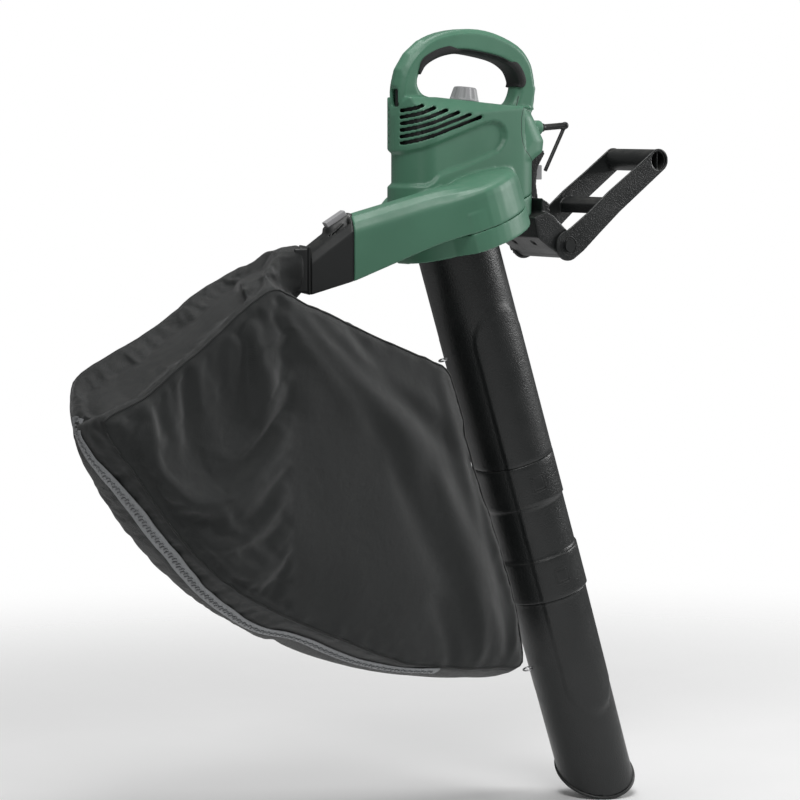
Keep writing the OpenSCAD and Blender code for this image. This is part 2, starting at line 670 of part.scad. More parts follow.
// ---- second handle, turning about the pivot ----
arm_t = 4.5;
function arm_point(along, across) = [pivot_x + along * cos(arm_rise) - across * sin(arm_rise),
    pivot_z + along * sin(arm_rise) + across * cos(arm_rise)];
grip_x = pivot_x + arm_l * cos(arm_rise);
grip_z = pivot_z + arm_l * sin(arm_rise);
arm_inner = arm_half_w - arm_t;
cross_along = 100;
cross_half = 11;
module arm_outline() {
    polygon([arm_point(-4, -23), arm_point(20, -24), arm_point(60, -21), arm_point(110, -18),
        arm_point(160, -18), arm_point(arm_l, -18), arm_point(arm_l, 18), arm_point(160, 18.5),
        arm_point(110, 20), arm_point(60, 18), arm_point(25, 19), arm_point(-4, 21)]);
    translate([pivot_x, pivot_z]) circle(r = 23);
    translate([grip_x, grip_z]) circle(r = 18);
}
module aux_frame() color(black) difference() {
    union() {
        for (s = [0, 1]) mirror([0, s, 0]) y_plate(arm_inner, arm_half_w) arm_outline();
        y_plate(-arm_inner - 1, arm_inner + 1) polygon([arm_point(cross_along - 15, -4),
            arm_point(cross_along + 4, -cross_half), arm_point(cross_along + 13, -cross_half + 2),
            arm_point(cross_along + 15, 6), arm_point(cross_along + 2, cross_half),
            arm_point(cross_along - 8, cross_half - 2)]);
    }
    y_bar(pivot_x, pivot_z, pivot_r + 0.05, -80, 80);
    y_bar(grip_x, grip_z, aux_grip_r - 2.5, -80, 80);
}
module aux_grip() color(rubber) {
    difference() {
        y_bar(grip_x, grip_z, aux_grip_r, -arm_inner, arm_inner);
        y_bar(grip_x, grip_z, aux_grip_r - 3, -arm_inner - 1, arm_inner + 1);
    }
    translate([grip_x - 1, -arm_inner, grip_z - aux_grip_r + 2]) cube([2, 2 * arm_inner, 2 * aux_grip_r - 4]);
}
washer_t = 0.8;
module aux_pivot_bolt() color(steel) {
    y_bar(pivot_x, pivot_z, pivot_r, -arm_half_w - 0.2, arm_half_w + 12);
    y_bar(pivot_x, pivot_z, 9, -arm_half_w - 4.2, -arm_half_w - 0.2);
}
nut_r = 18;
module aux_pivot_nut() color(black) difference() {
    y_bar(pivot_x, pivot_z, nut_r, arm_half_w + 0.3, arm_half_w + 11);
    for (a = [0:45:315]) translate([pivot_x, 0, pivot_z]) rotate([0, a, 0]) translate([nut_r + 1.5, 0, 0])
        y_bar(0, 0, 3, arm_half_w - 1, arm_half_w + 20);
    y_bar(pivot_x, pivot_z, pivot_r, arm_half_w - 1, arm_half_w + 30);
}
module pivot_washers() color(steel) for (s = [0, 1]) mirror([0, s, 0]) difference() {
    y_bar(pivot_x, pivot_z, 16, hub_half + 0.05, hub_half + washer_t - 0.35);
    y_bar(pivot_x, pivot_z, pivot_r + 0.1, 0, 90);
}

// ---- suction tube ----
tube_top = -4;
spigot_r = tube_r - 1.8;
sleeve_wall = 2.5;
sleeve_r = tube_r + 1;
snap_at = 34;
snap_half = 10;
lower_top_r = nozzle_r + 2;
module snap_window(z, r) for (s = [0, 1]) mirror([0, s, 0])
    translate([-snap_half, r - 8, z - snap_half]) cube([2 * snap_half, 20, 2 * snap_half]);
module snap_pads(z, r0, r1) intersection() {
    translate([0, 0, z - snap_half + fit]) difference() {
        cylinder(h = 2 * (snap_half - fit), r = r1);
        translate([0, 0, -1]) cylinder(h = 2 * snap_half + 2, r = r0);
    }
    for (s = [0, 1]) mirror([0, s, 0]) translate([-snap_half + fit, 0, z - snap_half])
        cube([2 * (snap_half - fit), 100, 2 * snap_half]);
}
lug_l = 22;
module hook_lug(r) translate([-r - 13, -4, -lug_l / 2]) difference() {
    cube([15, 8, lug_l]);
    translate([6, 4, lug_l / 2]) rotate([90, 0, 0]) translate([0, 0, -10]) cylinder(h = 20, r = 3.2);
}
upper_lug_z = -192;
lower_lug_z = -704;
module upper_tube() color(black) fan_frame() difference() {
    union() {
        translate([0, 0, -joint_1]) cylinder(h = joint_1 - cover_h - 0.2, r = tube_r);
        translate([0, 0, -cover_h - 0.2]) cylinder(h = cover_h + tube_top + 0.2, r = socket_r - fit);
        translate([0, 0, -cover_h - 8]) cylinder(h = 7.8, r = tube_r + 5);
        translate([0, 0, -joint_1 - collar_h + 2]) cylinder(h = collar_h, r = sleeve_r - sleeve_wall - 0.1);
        snap_pads(-joint_1 - snap_at, sleeve_r - sleeve_wall - 1, sleeve_r - 0.5);
        translate([0, 0, upper_lug_z]) hook_lug(tube_r);
    }
    translate([0, 0, -joint_1 - collar_h]) cylinder(h = joint_1 + collar_h + 10, r = spigot_r - tube_wall);
}
module middle_tube() color(black) fan_frame() difference() {
    union() {
        translate([0, 0, -joint_2]) cylinder(h = collar_h, r = sleeve_r);
        translate([0, 0, -joint_2 + collar_h]) cylinder(h = joint_2 - joint_1 - 2 * collar_h, r = sleeve_r - 1.5);
        translate([0, 0, -joint_1 - collar_h]) cylinder(h = collar_h - 0.2, r = sleeve_r);
    }
    translate([0, 0, -joint_2 - 1]) cylinder(h = joint_2 - joint_1 + 2, r = sleeve_r - sleeve_wall);
    snap_window(-joint_1 - snap_at, sleeve_r);
    snap_window(-joint_2 + snap_at, sleeve_r);
}
mouth_slope = 30;
rim_r = 3;
module mouth_cut(h) translate([0, 0, -mouth_at]) rotate([mouth_slope, 0, 0]) translate([-150, -150, -300])
    cube([300, 300, 300 + h]);
module lower_tube() color(black) fan_frame() difference() {
    union() {
        translate([0, 0, -joint_2 - 20]) cylinder(h = collar_h + 18, r = sleeve_r - sleeve_wall - 0.1);
        translate([0, 0, -joint_2 - 26]) cylinder(h = 25.8, r1 = lower_top_r, r2 = sleeve_r - 1);
        translate([0, 0, -mouth_at - 50]) cylinder(h = mouth_at + 50 - joint_2 - 26, r1 = nozzle_r, r2 = lower_top_r);
        snap_pads(-joint_2 + snap_at, sleeve_r - sleeve_wall - 1, sleeve_r - 0.5);
        translate([0, 0, lower_lug_z]) hook_lug(lower_top_r);
        intersection() {
            translate([0, 0, -mouth_at - 60]) cylinder(h = 120, r = nozzle_r + rim_r);
            translate([0, 0, -mouth_at]) rotate([mouth_slope, 0, 0]) translate([-150, -150, 0]) cube([300, 300, 5]);
        }
    }
    translate([0, 0, -mouth_at - 90]) cylinder(h = mouth_at + 90 - joint_2 + collar_h + 10, r = nozzle_r - tube_wall);
    mouth_cut(0);
}
module tube_gasket() color(rubber) fan_frame() translate([0, 0, tube_top + 0.2])
    ring(socket_r + wall, socket_r - tube_wall, 2.5);

// Wire clips that hold the bag to the lugs
clip_r = 1.3;
clip_ring_r = 7;
module bag_clips() color(steel) fan_frame() for (p = [[upper_lug_z, tube_r], [lower_lug_z, lower_top_r]])
    translate([-p[1] - 7 - clip_ring_r, 0, p[0]]) rotate_extrude() translate([clip_ring_r, 0]) circle(r = clip_r);

// ---- outlet, adapter and neck ring, along the duct ----
adapter_hi = 2;
adapter_lo = -68;
adapter_half_w = 33;
module adapter_form(d) hull() {
    duct_section(d > 0 ? 5 : 0.8, duct_half_w, -49, 49, d);
    duct_section(d > 0 ? adapter_l + 0.1 : adapter_l - 0.5, adapter_half_w, adapter_lo, adapter_hi, d);
}
button_at = 18;
button_w = 24;
button_l = 34;
button_slope = 33;
module on_adapter() duct_frame() translate([button_at, 0, 37]) rotate([0, button_slope, 0]) children();
module bag_adapter() color(black) difference() {
    union() {
        duct_frame() adapter_form(0);
        duct_frame() hull() for (x = [-16, 3])
            duct_section(x, duct_half_w - wall - 0.2, x < 0 ? -38 : -44, x < 0 ? 47 : 44.5, 0);
    }
    duct_frame() adapter_form(wall);
    duct_frame() hull() for (x = [-18, 6])
        duct_section(x, duct_half_w - wall - 2.4, x < 0 ? -35.5 : -41.5, x < 0 ? 44.5 : 42, 0);
    on_adapter() translate([-button_l / 2 - fit, -button_w / 2 - fit, -30])
        cube([button_l + 2 * fit, button_w + 2 * fit, 60]);
}
module bag_button() color(pale) on_adapter() translate([-button_l / 2, -button_w / 2, -4])
    cube([button_l, button_w, 13]);
module bag_button_spring() color(steel) on_adapter() translate([0, 0, -12]) ring(4, 3.2, 7.8);
module adapter_seal() color(rubber) duct_frame() difference() {
    duct_section(0.15, duct_half_w - 0.6, -48, 48, 0);
    for (x = [-0.2, 0.1, 0.4]) duct_section(x, duct_half_w - wall, -45, 45, 0);
}
neck_l = 24;
module bag_neck_ring() color(black) duct_frame() difference() {
    union() {
        translate([adapter_l + 0.2, -adapter_half_w + 3, adapter_lo + 3])
            cube([neck_l, 2 * adapter_half_w - 6, adapter_hi - adapter_lo - 6]);
        translate([adapter_l + 0.2, -adapter_half_w, adapter_lo])
            cube([4, 2 * adapter_half_w, adapter_hi - adapter_lo]);
    }
    translate([adapter_l - 1, -adapter_half_w + 6, adapter_lo + 6])
        cube([neck_l + 9, 2 * adapter_half_w - 12, adapter_hi - adapter_lo - 12]);
}

// ---- bag, a plain closed solid of the filled shape ----
bag_far = 62;
bag_near = -bag_half_w - 10;
bag_outline = [[-393, -357], [-497, -421], [-611, -500], [-672, -533], [-633, -597], [-579, -672],
    [-523, -734], [-457, -788], [-367, -834], [-284, -870], [-160, -920], [-60, -934], [54, -934],
    [34, -832], [6, -745], [-37, -634], [-72, -520], [-88, -482]];
module bag() color(cloth) {
    hull() {
        y_plate(bag_near, bag_near + 2) polygon(bag_outline);
        y_plate(bag_far - 2, bag_far) polygon([for (p = bag_outline) [p[0] + 24, p[1] + (p[0] < -380 ? 20 : -6)]]);
        fan_frame() translate([-tube_r - 9, 0, -682]) cylinder(h = 466, r = 4, $fn = 24);
        y_plate(-40, 20) polygon([[-470, -372], [-640, -560], [-500, -775], [-330, -878], [-120, -962],
            [0, -968], [60, -944]]);
    }
    hull() {
        duct_frame() translate([adapter_l + neck_l + 0.6, -adapter_half_w + 1, adapter_lo + 1])
            cube([2, 2 * adapter_half_w - 2, adapter_hi - adapter_lo - 2]);
        y_plate(-60, 45) polygon([[-393, -352], [-450, -392], [-400, -440], [-345, -394]]);
    }
}

housing_right();
housing_left();
front_cover();
intake_cover();
grip_insert();
housing_screws();
cover_screws();
strap_pin();
speed_dial();
dial_switch();
dial_shaft();
control_board();
fan_plate();
plate_screws();
lower_bearing();
upper_bearing();
bearing_bracket();
stator_core();
field_coils();
armature_core();
armature_coils();
commutator();
motor_shaft();
cooling_fan();
brush_holders();
carbon_brushes();
brush_springs();
impeller();
shredder_blade();
impeller_nut();
interlock_switch();
front_bracket();
bracket_screws();
cord_hook();
cord_inlet();
tube_button();
tube_button_spring();
aux_frame();
aux_grip();
aux_pivot_bolt();
aux_pivot_nut();
pivot_washers();
upper_tube();
middle_tube();
lower_tube();
tube_gasket();
bag_clips();
bag_adapter();
adapter_seal();
bag_button();
bag_button_spring();
bag_neck_ring();
bag();
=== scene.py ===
"""Leaf vacuum mulcher: the visual model on its fixed frame, laid out as an add-on and run as a script."""

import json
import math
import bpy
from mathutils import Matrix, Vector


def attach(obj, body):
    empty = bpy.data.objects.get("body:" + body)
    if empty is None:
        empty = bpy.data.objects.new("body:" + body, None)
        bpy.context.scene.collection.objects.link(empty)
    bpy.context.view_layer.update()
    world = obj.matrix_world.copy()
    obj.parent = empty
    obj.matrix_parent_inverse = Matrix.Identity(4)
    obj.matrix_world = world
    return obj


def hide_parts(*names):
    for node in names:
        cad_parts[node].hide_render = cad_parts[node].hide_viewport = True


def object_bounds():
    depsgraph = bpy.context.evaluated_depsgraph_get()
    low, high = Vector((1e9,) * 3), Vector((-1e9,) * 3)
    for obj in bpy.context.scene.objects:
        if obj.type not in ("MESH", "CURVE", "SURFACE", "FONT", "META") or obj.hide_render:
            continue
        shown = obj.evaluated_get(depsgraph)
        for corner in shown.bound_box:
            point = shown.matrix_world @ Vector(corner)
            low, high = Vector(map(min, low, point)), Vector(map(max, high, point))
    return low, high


bl_info = {
    "name": "Leaf vacuum mulcher",
    "version": (1, 0, 0),
    "blender": (4, 5, 0),
    "location": "View3D > Sidebar > Mulcher",
    "description": "Builds the housing, tube, handles and collecting bag of a leaf vacuum",
    "category": "Object",
}

import bmesh
import bpy
import numpy as np
from mathutils import Matrix, Vector, noise
from mathutils.bvhtree import BVHTree

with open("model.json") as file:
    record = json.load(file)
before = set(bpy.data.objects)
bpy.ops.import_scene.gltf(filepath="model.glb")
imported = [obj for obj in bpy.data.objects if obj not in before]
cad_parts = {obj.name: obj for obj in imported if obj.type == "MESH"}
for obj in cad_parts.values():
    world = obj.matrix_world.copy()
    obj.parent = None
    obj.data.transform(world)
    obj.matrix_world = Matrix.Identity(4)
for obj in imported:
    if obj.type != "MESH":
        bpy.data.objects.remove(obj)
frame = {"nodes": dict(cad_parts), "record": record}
cad_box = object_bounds()

# Frames of the fan and of the outlet duct, in millimetres of the row frame
FAN_AT = Vector((-22.4, 0, -272.2))
FAN_TILT = math.radians(18)
FAN_X = Vector((math.cos(FAN_TILT), 0, math.sin(FAN_TILT)))
FAN_Z = Vector((-math.sin(FAN_TILT), 0, math.cos(FAN_TILT)))
DUCT_AT = Vector((-218.5, -15, -303))
DUCT_X = Vector((-0.934, 0.357, 0))
DUCT_Y = Vector((-0.357, -0.934, 0))


def mm(*p):
    return Vector(p) * 0.001


def fan(x, y, z):
    """A point of the fan frame, in metres of the row frame."""
    return (FAN_AT + FAN_X * x + Vector((0, y, 0)) + FAN_Z * z) * 0.001


def duct(x, y, z):
    """A point of the duct frame, in metres of the row frame."""
    return (DUCT_AT + DUCT_X * x + DUCT_Y * y + Vector((0, 0, z))) * 0.001


def ramp(t):
    t = min(max(t, 0.0), 1.0)
    return t * t * (3 - 2 * t)


# ---- settings ----


def colour_setting(name, description, default):
    return bpy.props.FloatVectorProperty(
        name=name, description=description, subtype="COLOR", size=3, min=0, max=1, default=default)


def length_setting(name, description, low, high, default):
    return bpy.props.FloatProperty(
        name=name, description=description, subtype="DISTANCE", min=low, max=high, default=default)


class FinishSettings(bpy.types.PropertyGroup):
    """Colours and grain of the finishes"""

    green: colour_setting("Housing green", "Colour of the moulded housing",
        (0.085, 0.225, 0.145))
    black: colour_setting("Tube black", "Colour of the tube, adapter and handle",
        (0.012, 0.0135, 0.0135))
    cloth: colour_setting("Bag cloth", "Colour of the woven bag",
        (0.0052, 0.0066, 0.0064))
    pale: colour_setting("Pale grey", "Colour of the dial and the two buttons",
        (0.40, 0.40, 0.41))
    tape: colour_setting("Zip tape", "Colour of the woven zip tape",
        (0.30, 0.31, 0.32))
    grain: length_setting("Grain size", "Size of one pebble of the leather-like grain",
        0.0003, 0.005, 0.0017)
    weave: length_setting("Weave size", "Width of one thread of the bag cloth",
        0.0003, 0.003, 0.0009)


class MouldSettings(bpy.types.PropertyGroup):
    """Roundness and recesses of the moulded parts"""

    voxel: length_setting("Surface step", "Step of the rounded surface of the housing",
        0.0008, 0.004, 0.0017)
    pad_depth: length_setting("Pad depth", "Depth of the plain panel on the side of the housing",
        0, 0.01, 0.0058)
    pad_edge: length_setting("Pad edge", "Width of the sloped edge round the panel",
        0.002, 0.02, 0.0075)
    panel_rise: length_setting("Tube panel rise", "Height of the arched panels on the tube",
        0, 0.004, 0.0022)


class BagSettings(bpy.types.PropertyGroup):
    """Shape and folds of the collecting bag"""

    bulge: length_setting("Side bulge", "How far each side stands out in its middle",
        0, 0.06, 0.022)
    spare: bpy.props.FloatProperty(
        name="Spare cloth", description="Share of spare cloth that makes the small folds",
        subtype="FACTOR", min=0, max=0.2, default=0.05)
    zip_width: length_setting("Zip width", "Width of the zip tape",
        0.01, 0.05, 0.026)
    seed: bpy.props.IntProperty(
        name="Seed", description="Seed of the small creases", min=0, default=7)


class StageSettings(bpy.types.PropertyGroup):
    """Camera, floor and lights"""

    lens: bpy.props.FloatProperty(
        name="Lens", description="Focal length of the camera", subtype="DISTANCE_CAMERA",
        unit="CAMERA", min=20, max=300, default=150)
    key: bpy.props.FloatProperty(
        name="Key light", description="Power of the main soft light",
        subtype="POWER", unit="POWER", min=0, default=62)
    sky: bpy.props.FloatProperty(
        name="Surround", description="Strength of the pale surround", min=0, max=5, default=0.2)


# ---- shader groups ----

GROUPS = {}


def group(name, inputs, outputs):
    """An empty shader group with its sockets; (name, kind, default) for each input."""
    tree = bpy.data.node_groups.new(name, "ShaderNodeTree")
    for label, kind, value in inputs:
        s = tree.interface.new_socket(label, in_out="INPUT", socket_type="NodeSocket" + kind)
        s.default_value = value
    for label, kind in outputs:
        tree.interface.new_socket(label, in_out="OUTPUT", socket_type="NodeSocket" + kind)
    GROUPS[name] = tree
    return tree, tree.nodes.new("NodeGroupInput"), tree.nodes.new("NodeGroupOutput")


def put(tree, kind, inputs=(), **settings):
    """A node with its settings, its inputs given as values or as sockets to link."""
    node = tree.nodes.new(kind)
    for k, v in settings.items():
        setattr(node, k, v)
    for key, value in dict(inputs).items():
        if isinstance(value, bpy.types.NodeSocket):
            tree.links.new(value, node.inputs[key])
        else:
            node.inputs[key].default_value = value
    return node


def maths(tree, operation, a, b=0.0, c=0.0, clamp=False):
    return put(tree, "ShaderNodeMath", {0: a, 1: b, 2: c}, operation=operation, use_clamp=clamp).outputs[0]


def spread(tree, value, low, high, to_low=0.0, to_high=1.0):
    return put(tree, "ShaderNodeMapRange", {0: value, 1: low, 2: high, 3: to_low, 4: to_high},
               interpolation_type="SMOOTHSTEP").outputs[0]


def mix(tree, factor, a, b, blend="MIX"):
    node = tree.nodes.new("ShaderNodeMix")
    node.data_type = "RGBA"
    node.blend_type = blend
    for socket, value in ((node.inputs[0], factor), (node.inputs[6], a), (node.inputs[7], b)):
        if isinstance(value, bpy.types.NodeSocket):
            tree.links.new(value, socket)
        else:
            socket.default_value = value
    return node.outputs[2]


def build_groups():
    """Pebble grain, cloud, edge wear, weave and dust, each used by several finishes."""
    tree, i, o = group("Pebble grain", [("Size", "Float", 0.001), ("Depth", "Float", 0.5)],
                       [("Height", "Float"), ("Mask", "Float")])
    at = put(tree, "ShaderNodeTexCoord").outputs["Object"]
    scale = maths(tree, "DIVIDE", 1.0, i.outputs["Size"])
    cells = put(tree, "ShaderNodeTexVoronoi", {"Vector": at, "Scale": scale, "Randomness": 0.9},
                feature="SMOOTH_F1")
    fine = put(tree, "ShaderNodeTexNoise", {"Vector": at, "Scale": maths(tree, "MULTIPLY", scale, 0.6), "Detail": 3.0})
    pebble = spread(tree, cells.outputs["Distance"], 0.1, 0.75, 1.0, 0.0)
    both = maths(tree, "MULTIPLY_ADD", fine.outputs["Fac"], 0.6, pebble)
    tree.links.new(maths(tree, "MULTIPLY", both, i.outputs["Depth"]), o.inputs["Height"])
    tree.links.new(pebble, o.inputs["Mask"])

    tree, i, o = group("Cloud", [("Size", "Float", 0.05), ("Low", "Float", 0.0), ("High", "Float", 1.0)],
                       [("Value", "Float")])
    at = put(tree, "ShaderNodeTexCoord").outputs["Object"]
    soft = put(tree, "ShaderNodeTexNoise",
               {"Vector": at, "Scale": maths(tree, "DIVIDE", 1.0, i.outputs["Size"]), "Detail": 4.0, "Roughness": 0.55})
    value = spread(tree, soft.outputs["Fac"], 0.3, 0.7)
    high = maths(tree, "SUBTRACT", i.outputs["High"], i.outputs["Low"])
    tree.links.new(maths(tree, "MULTIPLY_ADD", value, high, i.outputs["Low"]), o.inputs["Value"])

    tree, i, o = group("Edge wear", [("Start", "Float", 0.53), ("End", "Float", 0.62), ("Amount", "Float", 0.4)],
                       [("Mask", "Float")])
    at = put(tree, "ShaderNodeTexCoord").outputs["Object"]
    sharp = put(tree, "ShaderNodeNewGeometry").outputs["Pointiness"]
    edge = put(tree, "ShaderNodeMapRange", {0: sharp, 1: i.outputs["Start"], 2: i.outputs["End"]}).outputs[0]
    patch = put(tree, "ShaderNodeTexNoise", {"Vector": at, "Scale": 90.0, "Detail": 5.0})
    worn = maths(tree, "MULTIPLY", edge, spread(tree, patch.outputs["Fac"], 0.35, 0.65))
    tree.links.new(maths(tree, "MULTIPLY", worn, i.outputs["Amount"], clamp=True), o.inputs["Mask"])

    tree, i, o = group("Plain weave", [("Thread", "Float", 0.0009)], [("Height", "Float"), ("Mask", "Float")])
    at = put(tree, "ShaderNodeTexCoord").outputs["Object"]
    turned = put(tree, "ShaderNodeMapping", {"Vector": at, "Rotation": (0.35, 0.62, 0.2)}).outputs[0]
    xyz = put(tree, "ShaderNodeSeparateXYZ", {0: turned})
    rate = maths(tree, "DIVIDE", math.pi, i.outputs["Thread"])
    warp = maths(tree, "SINE", maths(tree, "MULTIPLY", maths(tree, "ADD", xyz.outputs[0], xyz.outputs[1]), rate))
    weft = maths(tree, "SINE", maths(tree, "MULTIPLY", maths(tree, "SUBTRACT", xyz.outputs[2], xyz.outputs[1]), rate))
    over = maths(tree, "MULTIPLY", warp, weft)
    slub = put(tree, "ShaderNodeTexNoise", {"Vector": turned, "Scale": 700.0, "Detail": 2.0})
    height = maths(tree, "MULTIPLY_ADD", slub.outputs["Fac"], 1.2, over)
    tree.links.new(height, o.inputs["Height"])
    tree.links.new(spread(tree, height, -0.2, 1.4), o.inputs["Mask"])

    tree, i, o = group("Dust", [("Amount", "Float", 0.2)], [("Mask", "Float")])
    at = put(tree, "ShaderNodeTexCoord").outputs["Object"]
    up = put(tree, "ShaderNodeSeparateXYZ", {0: put(tree, "ShaderNodeNewGeometry").outputs["Normal"]}).outputs[2]
    speck = put(tree, "ShaderNodeTexNoise", {"Vector": at, "Scale": 60.0, "Detail": 8.0, "Roughness": 0.7})
    settled = maths(tree, "MULTIPLY", spread(tree, up, 0.1, 0.95), spread(tree, speck.outputs["Fac"], 0.4, 0.7))
    tree.links.new(maths(tree, "MULTIPLY", settled, i.outputs["Amount"]), o.inputs["Mask"])


# ---- finishes ----

FINISH = {}


def use(tree, name, **values):
    node = tree.nodes.new("ShaderNodeGroup")
    node.node_tree = GROUPS[name]
    for k, v in values.items():
        node.inputs[k].default_value = v
    return node


def start_finish(name, roughness=0.5, metallic=0.0, specular=0.5, sheen=0.0, sheen_roughness=0.5):
    m = bpy.data.materials.new(name)
    m.use_nodes = True
    tree = m.node_tree
    shader = tree.nodes["Principled BSDF"]
    shader.inputs["Roughness"].default_value = roughness
    shader.inputs["Metallic"].default_value = metallic
    shader.inputs["Specular IOR Level"].default_value = specular
    shader.inputs["Sheen Weight"].default_value = sheen
    shader.inputs["Sheen Roughness"].default_value = sheen_roughness
    FINISH[name] = m
    return tree, shader


def bump(tree, shader, height, strength, distance, under=None):
    node = put(tree, "ShaderNodeBump", {"Height": height, "Strength": strength, "Distance": distance})
    if under:
        tree.links.new(under, node.inputs["Normal"])
    tree.links.new(node.outputs[0], shader.inputs["Normal"])
    return node.outputs[0]


def rgba(c, k=1.0):
    return (c[0] * k, c[1] * k, c[2] * k, 1.0)


def plastic(name, colour, grain, depth, roughness, wear=0.3, dust=0.08, painted_shade_seams=(), light=1.7, step=0.00012):
    """A moulded plastic: grain, cloudy gloss, worn edges, a little dust, and painted shade as dark lines along the
    grooves where parts meet.
    """
    tree, shader = start_finish(name, roughness)
    pebble = use(tree, "Pebble grain", Size=grain, Depth=1.0)
    cloud = use(tree, "Cloud", Size=0.045, Low=roughness - 0.05, High=roughness + 0.07)
    tone = use(tree, "Cloud", Size=0.16, Low=0.0, High=1.0)
    edge = use(tree, "Edge wear", Start=0.515, End=0.60, Amount=wear)
    fall = use(tree, "Dust", Amount=dust)
    base = mix(tree, tone.outputs[0], rgba(colour, 0.92), rgba(colour, 1.08))
    base = mix(tree, edge.outputs[0], base, rgba([c * light + 0.012 for c in colour]))
    base = mix(tree, fall.outputs[0], base, (0.42, 0.40, 0.36, 1))
    height = pebble.outputs["Height"]
    for seam in painted_shade_seams:
        distance = put(tree, "ShaderNodeAttribute", attribute_name=seam).outputs["Fac"]
        line = spread(tree, maths(tree, "ABSOLUTE", distance), 0.00025, 0.0008)
        # painted shade: along each parting line the colour goes nearly black, standing in for the shade in its groove
        base = mix(tree, line, rgba(colour, 0.12), base)
        height = maths(tree, "MULTIPLY_ADD", line, 9.0, height)
    tree.links.new(base, shader.inputs["Base Color"])
    rough = maths(tree, "MULTIPLY_ADD", pebble.outputs["Mask"], 0.05, cloud.outputs[0], clamp=True)
    tree.links.new(rough, shader.inputs["Roughness"])
    bump(tree, shader, height, depth, step)
    return FINISH[name]


def cloth(name, colour, thread, strength, light, sheen=0.25, fade=0.35):
    tree, shader = start_finish(name, 0.66, specular=0.45, sheen=sheen, sheen_roughness=0.4)
    weave = use(tree, "Plain weave", Thread=thread)
    fold = use(tree, "Cloud", Size=0.02, Low=0.0, High=1.0)
    broad = use(tree, "Cloud", Size=0.13, Low=0.0, High=1.0)
    fall = use(tree, "Dust", Amount=0.05)
    base = mix(tree, weave.outputs["Mask"], rgba(colour, 0.55), rgba(colour, light))
    base = mix(tree, maths(tree, "MULTIPLY", broad.outputs[0], fade), base, rgba(colour, 1.5))
    base = mix(tree, fall.outputs[0], base, (0.30, 0.29, 0.27, 1))
    tree.links.new(base, shader.inputs["Base Color"])
    height = maths(tree, "MULTIPLY_ADD", fold.outputs[0], 2.2, weave.outputs["Height"])
    tree.links.new(maths(tree, "MULTIPLY_ADD", weave.outputs["Mask"], -0.12, 0.7), shader.inputs["Roughness"])
    bump(tree, shader, height, strength, 0.00035)
    return FINISH[name]


def metal(name, colour, roughness, metallic=1.0):
    tree, shader = start_finish(name, roughness, metallic)
    cloud = use(tree, "Cloud", Size=0.012, Low=roughness - 0.06, High=roughness + 0.12)
    edge = use(tree, "Edge wear", Start=0.52, End=0.62, Amount=0.5)
    tree.links.new(mix(tree, edge.outputs[0], rgba(colour), rgba(colour, 1.3)), shader.inputs["Base Color"])
    tree.links.new(cloud.outputs[0], shader.inputs["Roughness"])
    fine = use(tree, "Pebble grain", Size=0.0006, Depth=1.0)
    bump(tree, shader, fine.outputs["Height"], 0.12, 0.0001)
    return FINISH[name]


class MULCHER_OT_finishes(bpy.types.Operator):
    """Make the shader groups and every finish"""

    bl_idname = "mulcher.finishes"
    bl_label = "Finishes"

    def execute(self, context):
        s = context.scene.mulcher_finish
        build_groups()
        plastic("Green housing", s.green, 0.0007, 0.16, 0.40, painted_shade_seams=("front_seam",), light=1.6)
        plastic("Black grained", s.black, s.grain, 0.8, 0.33, wear=0.45, step=0.00028)
        plastic("Black smooth", s.black, 0.0006, 0.18, 0.36, wear=0.4)
        plastic("Soft grip", [c * 0.8 for c in s.black], 0.0016, 0.8, 0.62, wear=0.1)
        plastic("Pale moulding", s.pale, 0.0005, 0.14, 0.42, wear=0.15, light=1.25)
        cloth("Bag cloth", s.cloth, s.weave, 0.6, 1.9)
        cloth("Seam piping", [c * 0.75 for c in s.cloth], s.weave * 0.8, 0.5, 1.5)
        cloth("Zip tape", s.tape, 0.0008, 0.5, 1.25, sheen=0.1, fade=0.2)
        plastic("Zip teeth", [c * 0.6 for c in s.tape], 0.0005, 0.1, 0.35, wear=0.1, light=1.2)
        metal("Steel", (0.55, 0.55, 0.56), 0.28)
        metal("Copper", (0.62, 0.28, 0.16), 0.32)
        metal("Carbon", (0.03, 0.03, 0.03), 0.55, 0.0)
        metal("Board", (0.03, 0.16, 0.08), 0.4, 0.0)
        return {"FINISHED"}


# ---- making pieces ----


def place(name, mesh, body, finish, smooth=True, replaces=()):
    """An object at the origin with its finish, riding on its body and standing for its CAD nodes."""
    ob = bpy.data.objects.new(name, mesh)
    bpy.context.scene.collection.objects.link(ob)
    ob.data.materials.clear()
    ob.data.materials.append(FINISH[finish])
    if smooth:
        ob.data.shade_smooth()
    if body:
        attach(ob, body)
    if replaces:
        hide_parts(*replaces)
    return ob


def mesh_from(bm, name, outward=True):
    if outward:
        bmesh.ops.recalc_face_normals(bm, faces=bm.faces)
    mesh = bpy.data.meshes.new(name)
    bm.to_mesh(mesh)
    bm.free()
    return mesh


def settle(ob):
    """Apply an object's modifiers to its mesh."""
    bpy.context.view_layer.update()
    ready = ob.evaluated_get(bpy.context.evaluated_depsgraph_get())
    mesh = bpy.data.meshes.new_from_object(ready)
    old = ob.data
    ob.modifiers.clear()
    ob.data = mesh
    if not old.users:
        bpy.data.meshes.remove(old)
    return ob


def rounded(mesh, voxel, passes, factor=0.5):
    """The mesh as one closed rounded skin: overlaps join, and every edge gets a small radius."""
    ob = bpy.data.objects.new("rounding", mesh)
    bpy.context.scene.collection.objects.link(ob)
    remesh = ob.modifiers.new("Skin", "REMESH")
    remesh.mode = "VOXEL"
    remesh.voxel_size = voxel
    remesh.use_smooth_shade = True
    soft = ob.modifiers.new("Soft", "SMOOTH")
    soft.factor = factor
    soft.iterations = passes
    settle(ob)
    out = ob.data
    bpy.data.objects.remove(ob)
    return out


def merged(node):
    """A merged bmesh copy of a CAD node."""
    bm = bmesh.new()
    bm.from_mesh(frame["nodes"][node].data)
    bmesh.ops.remove_doubles(bm, verts=bm.verts, dist=1e-6)
    return bm


